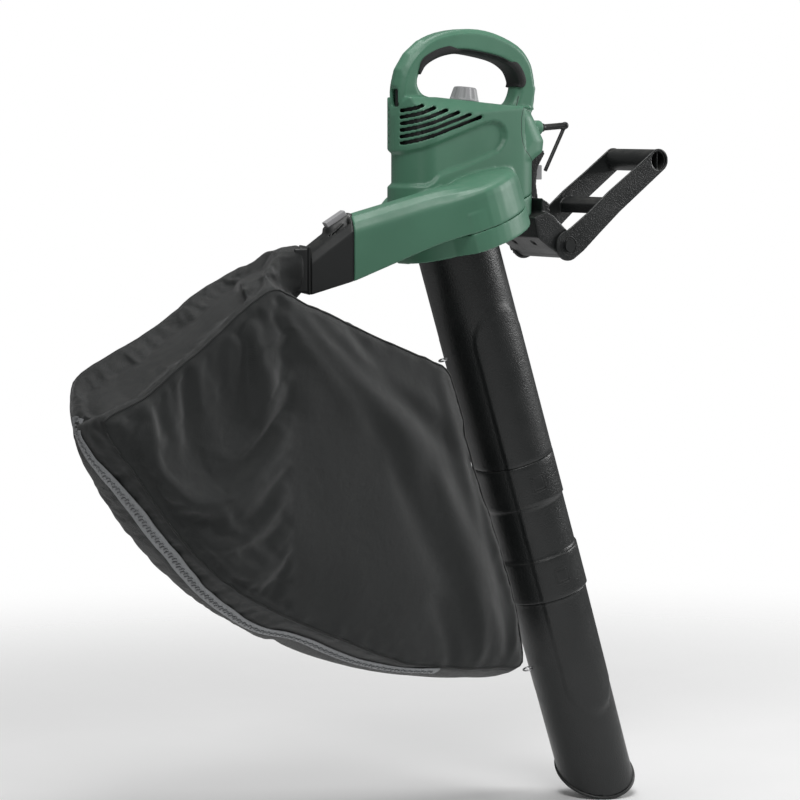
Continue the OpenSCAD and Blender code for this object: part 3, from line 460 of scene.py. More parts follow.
def moulded(node, body, finish, voxel, passes=3):
    """A CAD node again, with the small radii of a moulded part."""
    mesh = rounded(mesh_from(merged(node), node), voxel, passes)
    return place(node + "_moulded", mesh, body, finish, replaces=(node,))


def ring_of(bm, points):
    """A closed ring of vertices and edges."""
    verts = [bm.verts.new(p) for p in points]
    for a, b in zip(verts, verts[1:] + verts[:1]):
        bm.edges.new((a, b))
    return verts


def grow(bm, ring, points, closed=True):
    """Extrude a ring of vertices to new points, one each."""
    pairs = list(zip(ring, ring[1:] + ring[:1])) if closed else list(zip(ring, ring[1:]))
    edges = [bm.edges.get(p) for p in pairs]
    made = {g for g in bmesh.ops.extrude_edge_only(bm, edges=edges)["geom"] if isinstance(g, bmesh.types.BMVert)}
    out = []
    for v, p in zip(ring, points):
        w = next(e.other_vert(v) for e in v.link_edges if e.other_vert(v) in made)
        w.co = p
        out.append(w)
    return out


def loft(bm, rings, ends=True):
    """A skin through rings of points that have the same count."""
    first = ring_of(bm, rings[0])
    last = first
    for points in rings[1:]:
        last = grow(bm, last, points)
    if ends:
        for ring in (first, last):
            bmesh.ops.contextual_create(bm, geom=ring)
    return first, last


def rounded_plan(half_l, half_w, a, power=0.45):
    """A point of a rounded rectangle at an angle."""
    c, s = math.cos(a), math.sin(a)
    return half_l * math.copysign(abs(c) ** power, c), half_w * math.copysign(abs(s) ** power, s)


def curve_through(points, steps, closed=False):
    """Points on a smooth curve through the given ones."""
    p = [Vector(q) for q in points]
    n = len(p)
    out = []
    for k in range(n if closed else n - 1):
        a = p[(k - 1) % n] if closed or k > 0 else p[0]
        b, c = p[k % n], p[(k + 1) % n]
        d = p[(k + 2) % n] if closed or k + 2 < n else p[-1]
        for j in range(steps):
            t = j / steps
            out.append(0.5 * (2 * b + (c - a) * t + (2 * a - 5 * b + 4 * c - d) * t * t
                              + (3 * b - a - 3 * c + d) * t ** 3))
    if not closed:
        out.append(p[-1])
    return out


def tube_along(bm, points, radius, sides=8, closed=False):
    """A round cord through points, as rings that keep the same turn."""
    p = [Vector(q) for q in points]
    n = len(p)
    rings = []
    side = None
    for k in range(n):
        ahead = (p[(k + 1) % n] if closed or k + 1 < n else p[k])
        behind = (p[(k - 1) % n] if closed or k > 0 else p[k])
        along = (ahead - behind).normalized()
        if side is None:
            side = along.orthogonal().normalized()
        side = (side - along * side.dot(along)).normalized()
        other = along.cross(side)
        r = radius(k / (n - 1)) if callable(radius) else radius
        rings.append([p[k] + (side * math.cos(a) + other * math.sin(a)) * r
                      for a in (2 * math.pi * j / sides for j in range(sides))])
    if closed:
        rings.append(rings[0])
    loft(bm, rings, ends=not closed)
    if closed:
        bmesh.ops.remove_doubles(bm, verts=bm.verts, dist=1e-6)


def side_of(x, z, line):
    """Signed distance of a point from an open line of points in one plane, in the line's unit."""
    best, sign = 1e9, 1.0
    for (ax, az), (bx, bz) in zip(line, line[1:]):
        ux, uz = bx - ax, bz - az
        t = min(max(((x - ax) * ux + (z - az) * uz) / (ux * ux + uz * uz), 0.0), 1.0)
        dx, dz = x - ax - ux * t, z - az - uz * t
        d = math.hypot(dx, dz)
        if d < best:
            best = d
            sign = 1.0 if ux * dz - uz * dx > 0 else -1.0
    return best * sign


def inside_of(x, z, loop):
    """Distance inside a closed loop, negative outside."""
    best, inside = 1e9, False
    for (ax, az), (bx, bz) in zip(loop, loop[1:] + loop[:1]):
        ux, uz = bx - ax, bz - az
        t = min(max(((x - ax) * ux + (z - az) * uz) / (ux * ux + uz * uz), 0.0), 1.0)
        best = min(best, math.hypot(x - ax - ux * t, z - az - uz * t))
        if (az > z) != (bz > z) and x < ax + (z - az) * ux / uz:
            inside = not inside
    return best if inside else -best


# ---- housing ----

# The panel on the side of the housing and the rear line of the front cover, as x and z in millimetres
PAD = [(-150, -167), (-128, -163), (-95, -153), (-60, -142), (-20, -129), (8, -120), (24, -117), (38, -119),
       (48, -126), (53, -136), (53, -147), (47, -158), (37, -167), (10, -177), (-30, -190), (-60, -197),
       (-74, -203), (-86, -213), (-98, -218), (-150, -219)]
FRONT_LINE = [(94, -80), (90, -92), (83, -104), (80, -116), (80, -138), (83, -152), (88, -163), (102, -177),
              (118, -186)]
# Distance from a parting line, in metres, that leaves no trace of it
NO_SEAM = 0.05


def scroll_radius(a):
    return 113 + 0.082 * a


def scroll_rings():
    """Rings of the scroll and of the duct that leaves it, each from the near foot over the top to the far foot."""
    rings = []
    for k in range(43):
        a = -190 + 298 * k / 42
        r = scroll_radius(a) + 0.9 * ramp((a - 40) / 30)
        soft = ramp((62 - a) / 45) * ramp((a + 190) / 30 + 0.3)
        c, s = math.cos(math.radians(a)), -math.sin(math.radians(a))
        plan = [(0, 0), (0, 26 - 4 * soft), (0.3, 47 - 13 * soft), (1.8, 54.5 - 11 * soft), (5.5, 58.6 - 8 * soft),
                (13, 61.5 - 5.5 * soft), (27, 64 - 4 * soft), (42, 66 - 3 * soft), (56, 68 - 2 * soft),
                (70, 70), (76, 70), (76, 0)]
        rings.append([fan((r - i) * c, (r - i) * s, z) for i, z in plan])
    for k in range(13):
        x = -145 + 144.5 * k / 12
        t = 1 + x / 150
        low, high = 13 - 62 * t, 92 - 43 * t
        w, crown = 38.0, 25.0
        foot = high - crown
        rings.append([duct(x, w, low), duct(x, w, low + 0.42 * (foot - low)), duct(x, w, foot - 9),
                      duct(x, w - 0.3, foot - 3), duct(x, w - 1.8, foot + 2), duct(x, w - 7, high - 13),
                      duct(x, w - 19, high - 4.5), duct(x, w - 34, high - 0.5), duct(x, w - 50, high - 2.5),
                      duct(x, w - 66, high - 12), duct(x, -w, foot), duct(x, -w, low)])
    # the crown of the scroll flows into the duct
    for _ in range(4):
        rings[41:48] = [[(p + 2 * q + r) / 4 for p, q, r in zip(*three)]
                        for three in zip(rings[40:47], rings[41:48], rings[42:49])]
    return rings


def in_fan(co):
    """A point in millimetres of the fan frame."""
    rel = co * 1000 - FAN_AT
    return rel.dot(FAN_X), rel.y, rel.dot(FAN_Z)


def beside_body(x, y):
    """How far a plan point lies outside the body, whose half width runs from 48 at the rear to 40 at the front."""
    if x < -80:
        return math.hypot(x + 80, y) - 48
    if x > 80:
        return math.hypot(x - 80, y) - 40
    return abs(y) - 44 + x / 20


def join_to(bm, part):
    """Add one bmesh to another and free it."""
    mesh = bpy.data.meshes.new("part")
    part.to_mesh(mesh)
    part.free()
    bm.from_mesh(mesh)
    bpy.data.meshes.remove(mesh)


def shoulder_half(z):
    """Half width of the housing near its shoulder, at a level."""
    return float(np.interp(z, [-118, -104, -91, -84], [48, 42, 33, 25]))


def vent_plan(r):
    """A plan line from the near side round the rear to the far side, as x and y in millimetres."""
    arc = [(-80 + r * math.cos(a), r * math.sin(a)) for a in (math.radians(270 - 10 * k) for k in range(19))]
    return ([(x, -r + (x + 80) / 20) for x in (20, -5, -30, -55)] + arc
            + [(x, r - (x + 80) / 20) for x in (-55, -30, -5, 20)])


def vent_rings():
    """Wall at the rear corner of the far side, where the vents stop."""
    rings = []
    for k in range(13):
        a = math.radians(157 - 47 * k / 12)
        ring = []
        for r, levels in ((47.9, range(-166, -95, 5)), (44.6, range(-96, -167, -5))):
            for z in levels:
                side = min(r * math.sin(a), shoulder_half(z) - (48 - r))
                ring.append(mm(-80 + r * math.cos(a), side, z))
        rings.append(ring)
    return rings


def nose_rings():
    """The foot of the front leg of the handle, flowing into the nose."""
    outline = [(98, -58), (120, -60), (127.5, -70), (125.5, -79), (122.5, -90), (123, -99), (118, -112), (98, -112)]
    rings = []
    for y, inset in ((-17, 4), (-14, 1), (-8, 0), (8, 0), (14, 1), (17, 4)):
        rings.append([mm(x - (inset if x > 100 else 0), y, z) for x, z in outline])
    return rings


def press_pad(mesh, depth, edge):
    """Press the side panel into both sides of the housing, following the rounded plan."""
    for v in mesh.vertices:
        x, y, z = v.co * 1000
        if abs(y) < 12 and x > -110 or not (-222 < z < -112):
            continue
        inside = inside_of(x, z, PAD)
        if inside <= 0:
            continue
        if x < -80:
            out = Vector((x + 80, y, 0))
        elif x > 80:
            out = Vector((x - 80, y, 0))
        else:
            out = Vector((0, y, 0))
        reach = out.length
        if reach > 60 or reach < 30:
            continue
        v.co -= out.normalized() * depth * ramp(inside / (edge * 1000))


def add_field(mesh, name, values):
    field = mesh.attributes.new(name, "FLOAT", "POINT")
    field.data.foreach_set("value", np.array(values, np.float32))


class MULCHER_OT_housing(bpy.types.Operator):
    """Both shells of the housing with the handle loop, scroll, outlet duct and front cover"""

    bl_idname = "mulcher.housing"
    bl_label = "Housing"

    def execute(self, context):
        s = context.scene.mulcher_mould
        bm = bmesh.new()
        for node in ("housing_right", "housing_left", "front_cover"):
            part = merged(node)
            for v in part.verts:
                x, y, z = in_fan(v.co)
                if 30 < z < 80 and math.hypot(x, y) > 70 and v.co.x < 0.085 and beside_body(v.co.x * 1000, y) > 0.3:
                    v.co = fan(x, y, 30)
            join_to(bm, part)
        for rings in (scroll_rings(), vent_rings(), nose_rings()):
            part = bmesh.new()
            loft(part, rings)
            bmesh.ops.recalc_face_normals(part, faces=part.faces)
            join_to(bm, part)
        # the loop of the handle is filled, so that its skin has no inner face
        line = [(-116, -70), (-112, -48), (-98, -28), (-78, -12), (-48, -4), (0, 0), (48, -6), (82, -19),
                (102, -36), (110, -54), (112, -74)]
        filler = bmesh.new()
        tube_along(filler, [mm(x, 0, z) for x, z in line], 0.0135, sides=12)
        bmesh.ops.recalc_face_normals(filler, faces=filler.faces)
        join_to(bm, filler)
        whole = rounded(mesh_from(bm, "housing", outward=False), s.voxel, 4)
        press_pad(whole, s.pad_depth, s.pad_edge)
        for name, node, side in (("right_shell", "housing_right", -1), ("left_shell", "housing_left", 1)):
            bm = bmesh.new()
            bm.from_mesh(whole)
            bmesh.ops.bisect_plane(bm, geom=bm.verts[:] + bm.edges[:] + bm.faces[:], dist=1e-6,
                                   plane_co=(0, side * 0.0001, 0), plane_no=(0, side, 0), clear_inner=True)
            bmesh.ops.holes_fill(bm, edges=[e for e in bm.edges if e.is_boundary], sides=0)
            mesh = mesh_from(bm, name, outward=False)
            # distance from the rear line of the front cover, along which the green finish paints shade
            add_field(mesh, "front_seam", [
                side_of(v.co.x * 1000, v.co.z * 1000, FRONT_LINE) * 0.001 if -0.19 < v.co.z < -0.082 else NO_SEAM
                for v in mesh.vertices])
            place(name, mesh, "machine", "Green housing",
                  replaces=(node,) + (("front_cover",) if side < 0 else ()))
        bpy.data.meshes.remove(whole)
        # a thin dark sheet behind the vents, all round the rear of the housing: painted shade, standing in for the
        # shaded inside seen through the vents
        bm = bmesh.new()
        levels = (-164, -150, -136, -122, -112, -104, -98, -94)
        row = None
        for x, y in vent_plan(37.5):
            points = [mm(x, math.copysign(min(abs(y), shoulder_half(z) - 9), y), z) for z in levels]
            if row is None:
                row = [bm.verts.new(p) for p in points]
                for a, b in zip(row, row[1:]):
                    bm.edges.new((a, b))
            else:
                row = grow(bm, row, points, closed=False)
        bmesh.ops.recalc_face_normals(bm, faces=bm.faces)
        bmesh.ops.solidify(bm, geom=bm.faces[:], thickness=0.0008)
        place("vent_shade_sheet", mesh_from(bm, "vent_shade_sheet"), "machine", "Black smooth", smooth=False)
        return {"FINISHED"}


class MULCHER_OT_intake(bpy.types.Operator):
    """The intake cover under the scroll"""

    bl_idname = "mulcher.intake"
    bl_label = "Intake cover"

    def execute(self, context):
        ob = moulded("intake_cover", "machine", "Green housing", 0.0017, 4)
        add_field(ob.data, "front_seam", [NO_SEAM] * len(ob.data.vertices))
        return {"FINISHED"}


# Middle line of the soft insert under the handle, as x and z in millimetres
INSERT_LINE = [(-89, -50), (-77, -35), (-49, -22.5), (-12, -18), (30, -23), (63, -31), (84, -44), (93, -60), (92, -68)]


class MULCHER_OT_controls(bpy.types.Operator):
    """Handle insert, dial, cord hook, front bracket, cord inlet and the two buttons"""

    bl_idname = "mulcher.controls"
    bl_label = "Controls"

    def execute(self, context):
        # the soft insert: narrow under the grip, wider pads at both ends
        line = curve_through([(x, 0, z) for x, z in INSERT_LINE], 8)
        bm = bmesh.new()
        n = len(line)
        rings = []
        for k in range(n):
            t = k / (n - 1)
            along = (line[min(k + 1, n - 1)] - line[max(k - 1, 0)]).normalized()
            out = Vector((-along.z, 0, along.x))
            rear = 7.0 * ramp((0.36 - t) / 0.07) * ramp((t + 0.01) / 0.14)
            front = 7.5 * ramp((t - 0.66) / 0.07) * ramp((1.01 - t) / 0.14)
            wide = 5.0 + rear + front
            section = ((-18.3, wide), (-18.7, wide - 1.2), (-18.6, 4), (-17.4, 0.6), (-14.5, -1.0), (0, -1.6),
                          (14.5, -1.0), (17.4, 0.6), (18.6, 4), (18.7, wide - 1.2), (18.3, wide), (15, wide),
                          (15, 3), (0, 2), (-15, 3), (-15, wide))
            rings.append([(line[k] + out * up + Vector((0, y, 0))) * 0.001 for y, up in section])
        loft(bm, rings)
        place("grip_insert_soft", mesh_from(bm, "grip_insert"), "machine", "Soft grip",
              replaces=("grip_insert",))
        for node, body, slot, finish, voxel, passes in (
                ("speed_dial", "dial", "pale_plastic", "Pale moulding", 0.0007, 3),
                ("cord_hook", "machine", "black_plastic", "Black smooth", 0.0009, 3),
                ("front_bracket", "machine", "black_plastic", "Black grained", 0.0013, 3),
                ("cord_inlet", "machine", "black_plastic", "Black smooth", 0.0009, 2),
                ("tube_button", "tube_button", "pale_plastic", "Pale moulding", 0.0007, 4),
                ("bag_button", "bag_button", "pale_plastic", "Pale moulding", 0.0008, 5)):
            moulded(node, body, finish, voxel, passes)
        return {"FINISHED"}


# ---- second handle ----


class MULCHER_OT_second_handle(bpy.types.Operator):
    """The hinged second handle with its arms, grip and pivot"""

    bl_idname = "mulcher.second_handle"
    bl_label = "Second handle"

    def execute(self, context):
        moulded("aux_frame", "aux_handle", "Black grained", 0.0011, 3)
        moulded("aux_grip", "aux_handle", "Black grained", 0.001, 3)
        # a groove line round each hub disc
        for side in (-1, 1):
            bm = bmesh.new()
            circle = [mm(157.5 + 14.5 * math.cos(a), side * 58.1, -309 + 14.5 * math.sin(a))
                      for a in (2 * math.pi * k / 64 for k in range(64))]
            tube_along(bm, circle, 0.0007, sides=6, closed=True)
            place("hub_ring_" + ("right" if side < 0 else "left"), mesh_from(bm, "hub_ring"),
                  "aux_handle", "Black smooth")
        return {"FINISHED"}


# ---- tube ----

# Distance down the tube's axis from the seam of the scroll to the middle of the mouth, in millimetres
MOUTH = 908
# Slope of the mouth
MOUTH_SLOPE = math.radians(30)


def panel_height(angle, s, top, bottom):
    """Share of the rise of an arched side panel, at an angle from the side and a distance down the tube."""
    span = math.radians(47)
    across = abs(angle) / span
    if across > 1.15:
        return 0.0
    arch_top = top + 60 * (1 - math.sqrt(max(0.0, 1 - min(across, 1.0) ** 2)))
    arch_low = bottom - 60 * (1 - math.sqrt(max(0.0, 1 - min(across, 1.0) ** 2)))
    edge = ramp((1.0 - across) * 12)
    return edge * ramp((s - arch_top) / 6) * ramp((arch_low - s) / 6)


def spun_tube(profile, segments=160):
    """A tube from a profile of radius and distance below the seam, spun about the tube's axis."""
    bm = bmesh.new()
    verts = [bm.verts.new(fan(r, 0, -z)) for r, z in profile]
    for a, b in zip(verts, verts[1:]):
        bm.edges.new((a, b))
    bmesh.ops.spin(bm, geom=bm.verts[:] + bm.edges[:], cent=FAN_AT * 0.001, axis=FAN_Z, dvec=(0, 0, 0),
                   angle=2 * math.pi, steps=segments, use_merge=True, use_duplicate=False)
    bmesh.ops.remove_doubles(bm, verts=bm.verts, dist=1e-6)
    return bm


def down_tube(co):
    """Angle from the near or far side, distance below the seam and the outward direction of a point."""
    rel = co * 1000 - FAN_AT
    x, y, s = rel.dot(FAN_X), rel.y, -rel.dot(FAN_Z)
    out = (FAN_X * x + Vector((0, y, 0))).normalized()
    return math.asin(min(1, abs(out.dot(FAN_X)))), s, out, math.hypot(x, y)


def raise_panels(bm, rise, top, bottom, least):
    for v in bm.verts:
        angle, s, out, r = down_tube(v.co)
        if r > least:
            v.co += out * rise * panel_height(angle, s, top, bottom)


def long_profile(points, step=6.0):
    """Points on a profile, no further apart than the step along its long runs."""
    out = [points[0]]
    for a, b in zip(points, points[1:]):
        n = max(1, int(abs(b[1] - a[1]) / step))
        out += [(a[0] + (b[0] - a[0]) * k / n, a[1] + (b[1] - a[1]) * k / n) for k in range(1, n + 1)]
    return out


def latch(name, at, radius):
    """A snap tongue in its window, on each side of a collar."""
    for side in (-1, 1):
        bm = bmesh.new()
        bmesh.ops.create_grid(bm, x_segments=26, y_segments=26, size=13)
        for v in bm.verts:
            u, w = v.co.x, v.co.y
            d = max(abs(u), abs(w)) + 0.18 * max(0.0, abs(u) + abs(w) - 17)
            lift = 1.1 * ramp((13 - d) / 1.2) - 1.8 * ramp((11.3 - d) / 0.9) + 1.5 * ramp((9.2 - d) / 1.1)
            r = radius - 0.6 + lift
            angle = u / radius - 0.14
            v.co = fan(r * math.sin(angle), side * r * math.cos(angle), -(at + w))
        place(name + ("_near" if side < 0 else "_far"), mesh_from(bm, name), "machine",
              "Black smooth")


class MULCHER_OT_tube(bpy.types.Operator):
    """The three tube sections with their collars, side panels, latches and oblique mouth"""

    bl_idname = "mulcher.tube"
    bl_label = "Tube"

    def execute(self, context):
        rise = context.scene.mulcher_mould.panel_rise
        upper = long_profile([(58, -2), (58, 376), (58.4, 379), (61.4, 379.4), (62, 378.4), (62, 30), (62, 12),
                              (62, -2), (58, -2)])
        bm = spun_tube(upper)
        raise_panels(bm, rise, 130, 860, 61)
        place("upper_tube_skin", mesh_from(bm, "upper"), "machine", "Black grained",
              replaces=("upper_tube",))
        middle = long_profile([(58, 382), (58, 598), (59, 600), (61.6, 600), (62.6, 599), (63, 597), (63, 535),
                               (62.6, 533.4), (61.6, 532.8), (60.8, 532.6), (60.8, 447.4), (61.8, 447), (63, 446),
                               (63, 382.4), (62.4, 380.6), (61.4, 380), (59, 380), (58, 382)])
        bm = spun_tube(middle)
        raise_panels(bm, rise * 0.7, 100, 860, 60)
        place("middle_tube_skin", mesh_from(bm, "middle"), "machine", "Black grained",
              replaces=("middle_tube",))
        latch("latch_upper", 414, 65)
        latch("latch_lower", 565, 65)
        lower = long_profile([(54.5, 590), (54.5, 960), (57, 960), (57.05, 880), (59, 604), (59.6, 601.6),
                              (58.6, 600.4), (54.5, 590)])
        bm = spun_tube(lower)
        raise_panels(bm, rise, 500, 800, 56.9)
        facing = -(FAN_Z * math.cos(MOUTH_SLOPE) - Vector((0, 1, 0)) * math.sin(MOUTH_SLOPE))
        at = fan(0, 0, -MOUTH)
        bmesh.ops.bisect_plane(bm, geom=bm.verts[:] + bm.edges[:] + bm.faces[:], dist=1e-6, plane_co=at,
                               plane_no=facing, clear_outer=True)
        bmesh.ops.bridge_loops(bm, edges=[e for e in bm.edges if e.is_boundary])
        place("lower_tube_skin", mesh_from(bm, "lower"), "machine", "Black grained",
              replaces=("lower_tube",))
        # the rolled lip of the mouth
        bm = bmesh.new()
        circle = [(57.2 * math.cos(a), 57.2 * math.sin(a)) for a in (2 * math.pi * k / 120 for k in range(120))]
        lip = [fan(x, y, -MOUTH + y * math.tan(MOUTH_SLOPE)) for x, y in circle]
        tube_along(bm, lip, 0.0026, sides=10, closed=True)
        place("mouth_lip", mesh_from(bm, "lip"), "machine", "Black smooth")
        return {"FINISHED"}


def on_adapter(x, y, z):
    """A point of the frame of the bag button, in metres of the row frame."""
    slope = math.radians(33)
    return duct(18 + x * math.cos(slope) + z * math.sin(slope), y, 37 - x * math.sin(slope) + z * math.cos(slope))


class MULCHER_OT_adapter(bpy.types.Operator):
    """The bag adapter with the rounded pod round its button, and its neck ring"""

    bl_idname = "mulcher.adapter"
    bl_label = "Adapter"

    def execute(self, context):
        bm = merged("bag_adapter")
        # a rounded pod round the button, which rises out of the sloped top
        pod = bmesh.new()
        rings = []
        for half_l, half_w, level in ((30, 24, -22), (28, 21, -10), (24.5, 17.5, -2.5), (22, 15.3, 1.2), (20, 14, 2.2),
                                      (18.2, 13.1, 1.6), (17.7, 12.7, -2), (17.7, 12.7, -13)):
            rings.append([on_adapter(*rounded_plan(half_l, half_w, 2 * math.pi * j / 40), level) for j in range(40)])
        loft(pod, rings)
        bmesh.ops.recalc_face_normals(pod, faces=pod.faces)
        join_to(bm, pod)
        mesh = rounded(mesh_from(bm, "bag_adapter", outward=False), 0.0012, 4)
        place("bag_adapter_moulded", mesh, "machine", "Black smooth", replaces=("bag_adapter",))
        moulded("bag_neck_ring", "machine", "Black smooth", 0.0014, 3)
        return {"FINISHED"}


# ---- bag ----

# Stations round the bag: near edge and far edge as x and z in millimetres, from the neck over the top to the
# rear, the foot and the front
STATIONS = [
    ((-393, -355), (-352, -330)), ((-447, -384), (-432, -366)), ((-497, -422), (-487, -402)),
    ((-545, -455), (-545, -432)), ((-612, -501), (-596, -458)), ((-672, -528), (-640, -488)),
    ((-664, -560), (-642, -540)), ((-633, -600), (-632, -585)), ((-579, -672), (-597, -646)),
    ((-524, -734), (-556, -700)), ((-457, -788), (-500, -757)), ((-368, -834), (-434, -812)),
    ((-285, -871), (-364, -857)), ((-162, -920), (-262, -905)), ((-60, -936), (-140, -938)),
    ((5, -940), (-40, -955)), ((54, -936), (40, -952)), ((35, -832), (26, -842)),
    ((6, -745), (0, -750)), ((-37, -634), (-40, -636)), ((-72, -520), (-76, -522)),
    ((-90, -481), (-92, -483)), ((-140, -459), (-142, -461)), ((-201, -435), (-204, -434)),
    ((-282, -401), (-280, -392)), ((-344, -374), (-318, -352)),
]
NEAR_Y, FAR_Y = -87.0, 60.0
# How far a point of the cloth may move in the simulation, in metres
MOVE_CAP = 0.022
# Points of the edge lines from one station to the next
STEPS = 5
# Middle of the side panels, where their rings close, in metres, as a Vector for its single precision
MIDDLE = Vector((-0.290, 0, -0.640))
ZIP_FROM, ZIP_TO = 5.5, 13.6
# Where the zip runs across the strip, as shares of its run and of the strip's width from the near edge
ZIP_AT = (0, 0.1, 0.28, 0.42, 0.55, 0.66, 0.78, 0.88, 1)
ZIP_SHARE = (0.46, 0.38, 0.24, 0.22, 0.30, 0.36, 0.24, 0.30, 0.06)


# From one tooth of the zip to the next, in metres
TOOTH_PITCH = 0.0052
# Section of the zip tape, as shares of its half width and heights in metres
TAPE_SECTION = ((-1, -0.0004), (-0.98, 0.0005), (-0.5, 0.0009), (0, 0.0012), (0.5, 0.0009), (0.98, 0.0005),
                (1, -0.0004), (0.5, -0.001), (-0.5, -0.001))


def edge_lines():
    near = curve_through([mm(x, NEAR_Y, z) for (x, z), f in STATIONS], STEPS, closed=True)
    far = curve_through([mm(x, FAR_Y, z) for n, (x, z) in STATIONS], STEPS, closed=True)
    return near, far


def line_tree(line):
    """A search tree of a closed line, as slivers along it."""
    n = len(line)
    points = list(line) + [v + Vector((1e-5, 0, 1e-5)) for v in line]
    return BVHTree.FromPolygons(points, [(k, (k + 1) % n, n + k) for k in range(n)])


def gusset_point(near, far, k, t, out=0.0):
    """A point on the strip between the two edges at a share t across, standing out in the middle."""
    n = len(near)
    a, b = near[k % n], far[k % n]
    along = near[(k + 1) % n] - near[(k - 1) % n]
    away = Vector((along.z, 0, -along.x)).normalized()
    mid = (near[k % n] + far[k % n]) / 2
    if away.dot(mid - mm(-290, mid.y * 1000, -650)) < 0:
        away = -away
    return a + (b - a) * t + away * out * math.sin(math.pi * t)


def bag_skin(bulge):
    """The sewn bag as one closed skin: strip, two sides, and the neck."""
    near, far = edge_lines()
    bm = bmesh.new()
    n = len(near)
    rings = [[gusset_point(near, far, k, j / 8, 0.014 if k < 85 else -0.006) for k in range(n)] for j in range(9)]
    first, last = loft(bm, rings, ends=False)
    for ring, side in ((first, -1), (last, 1)):
        edge = [v.co.copy() for v in ring]
        inner = ring
        for j in range(1, 10):
            t = j / 10
            lift = bulge * math.sin(math.pi * 0.5 * min(1, t * 1.6)) * side
            inner = grow(bm, inner, [Vector((p.x + (MIDDLE.x - p.x) * t, p.y + lift, p.z + (MIDDLE.z - p.z) * t))
                                     for p in edge])
        bmesh.ops.contextual_create(bm, geom=inner)
    bmesh.ops.recalc_face_normals(bm, faces=bm.faces)
    neck = bmesh.new()
    rings = []
    for x, w, low, high, slip in ((72, 35, -71, 4, 0), (84, 36, -73, 4, 0), (98, 38, -78, 1, 3), (118, 44, -88, -5, 11),
                                  (145, 54, -104, -13, 32), (185, 62, -130, -27, 66)):
        mid, half = (low + high) / 2, (high - low) / 2
        plan = [rounded_plan(w, half, 2 * math.pi * j / 28, 0.62) for j in range(28)]
        rings.append([duct(x, slip + y, mid + z) for y, z in plan])
    loft(neck, rings)
    bmesh.ops.recalc_face_normals(neck, faces=neck.faces)
    join_to(bm, neck)
    return mesh_from(bm, "bag", outward=False), near, far


def fold_depth(co):
    """Long drawn folds that run from the neck and the top corners across the near side."""
    x, y, z = co * 1000
    if y > -40:
        return 0.0
    total = 0.0
    for (ax, az), (bx, bz), width, depth in FOLDS:
        ux, uz = bx - ax, bz - az
        length = math.hypot(ux, uz)
        t = ((x - ax) * ux + (z - az) * uz) / (length * length)
        if not -0.1 < t < 1.1:
            continue
        bend = 10 * math.sin(3.0 * t + ax)
        across = ((x - ax) * uz - (z - az) * ux) / length + bend
        w = width * (0.7 + 0.9 * max(t, 0))
        total += depth * math.exp(-(across / w) ** 2) * ramp((t + 0.1) * 5) * ramp((1.1 - t) * 3)
    return total * 0.001


FOLDS = [
    ((-385, -372), (-250, -560), 16, 7), ((-360, -380), (-130, -640), 20, 9), ((-372, -376), (-195, -620), 13, -6),
    ((-330, -392), (-90, -560), 12, 5), ((-260, -418), (-60, -640), 14, -5), ((-130, -640), (20, -900), 24, 8),
    ((-190, -610), (-60, -900), 22, -6), ((-110, -500), (20, -800), 13, 6), ((-60, -600), (30, -860), 10, -5),
    ((-470, -420), (-500, -520), 16, 5), ((-540, -462), (-560, -560), 15, -4), ((-430, -400), (-400, -520), 15, 5),
    ((-620, -510), (-560, -640), 18, 4), ((-40, -925), (-55, -800), 10, 4), ((10, -930), (-5, -820), 9, -4),
    ((-90, -930), (-120, -810), 12, -4), ((40, -910), (20, -800), 8, 4), ((-400, -370), (-360, -560), 14, -5),
]


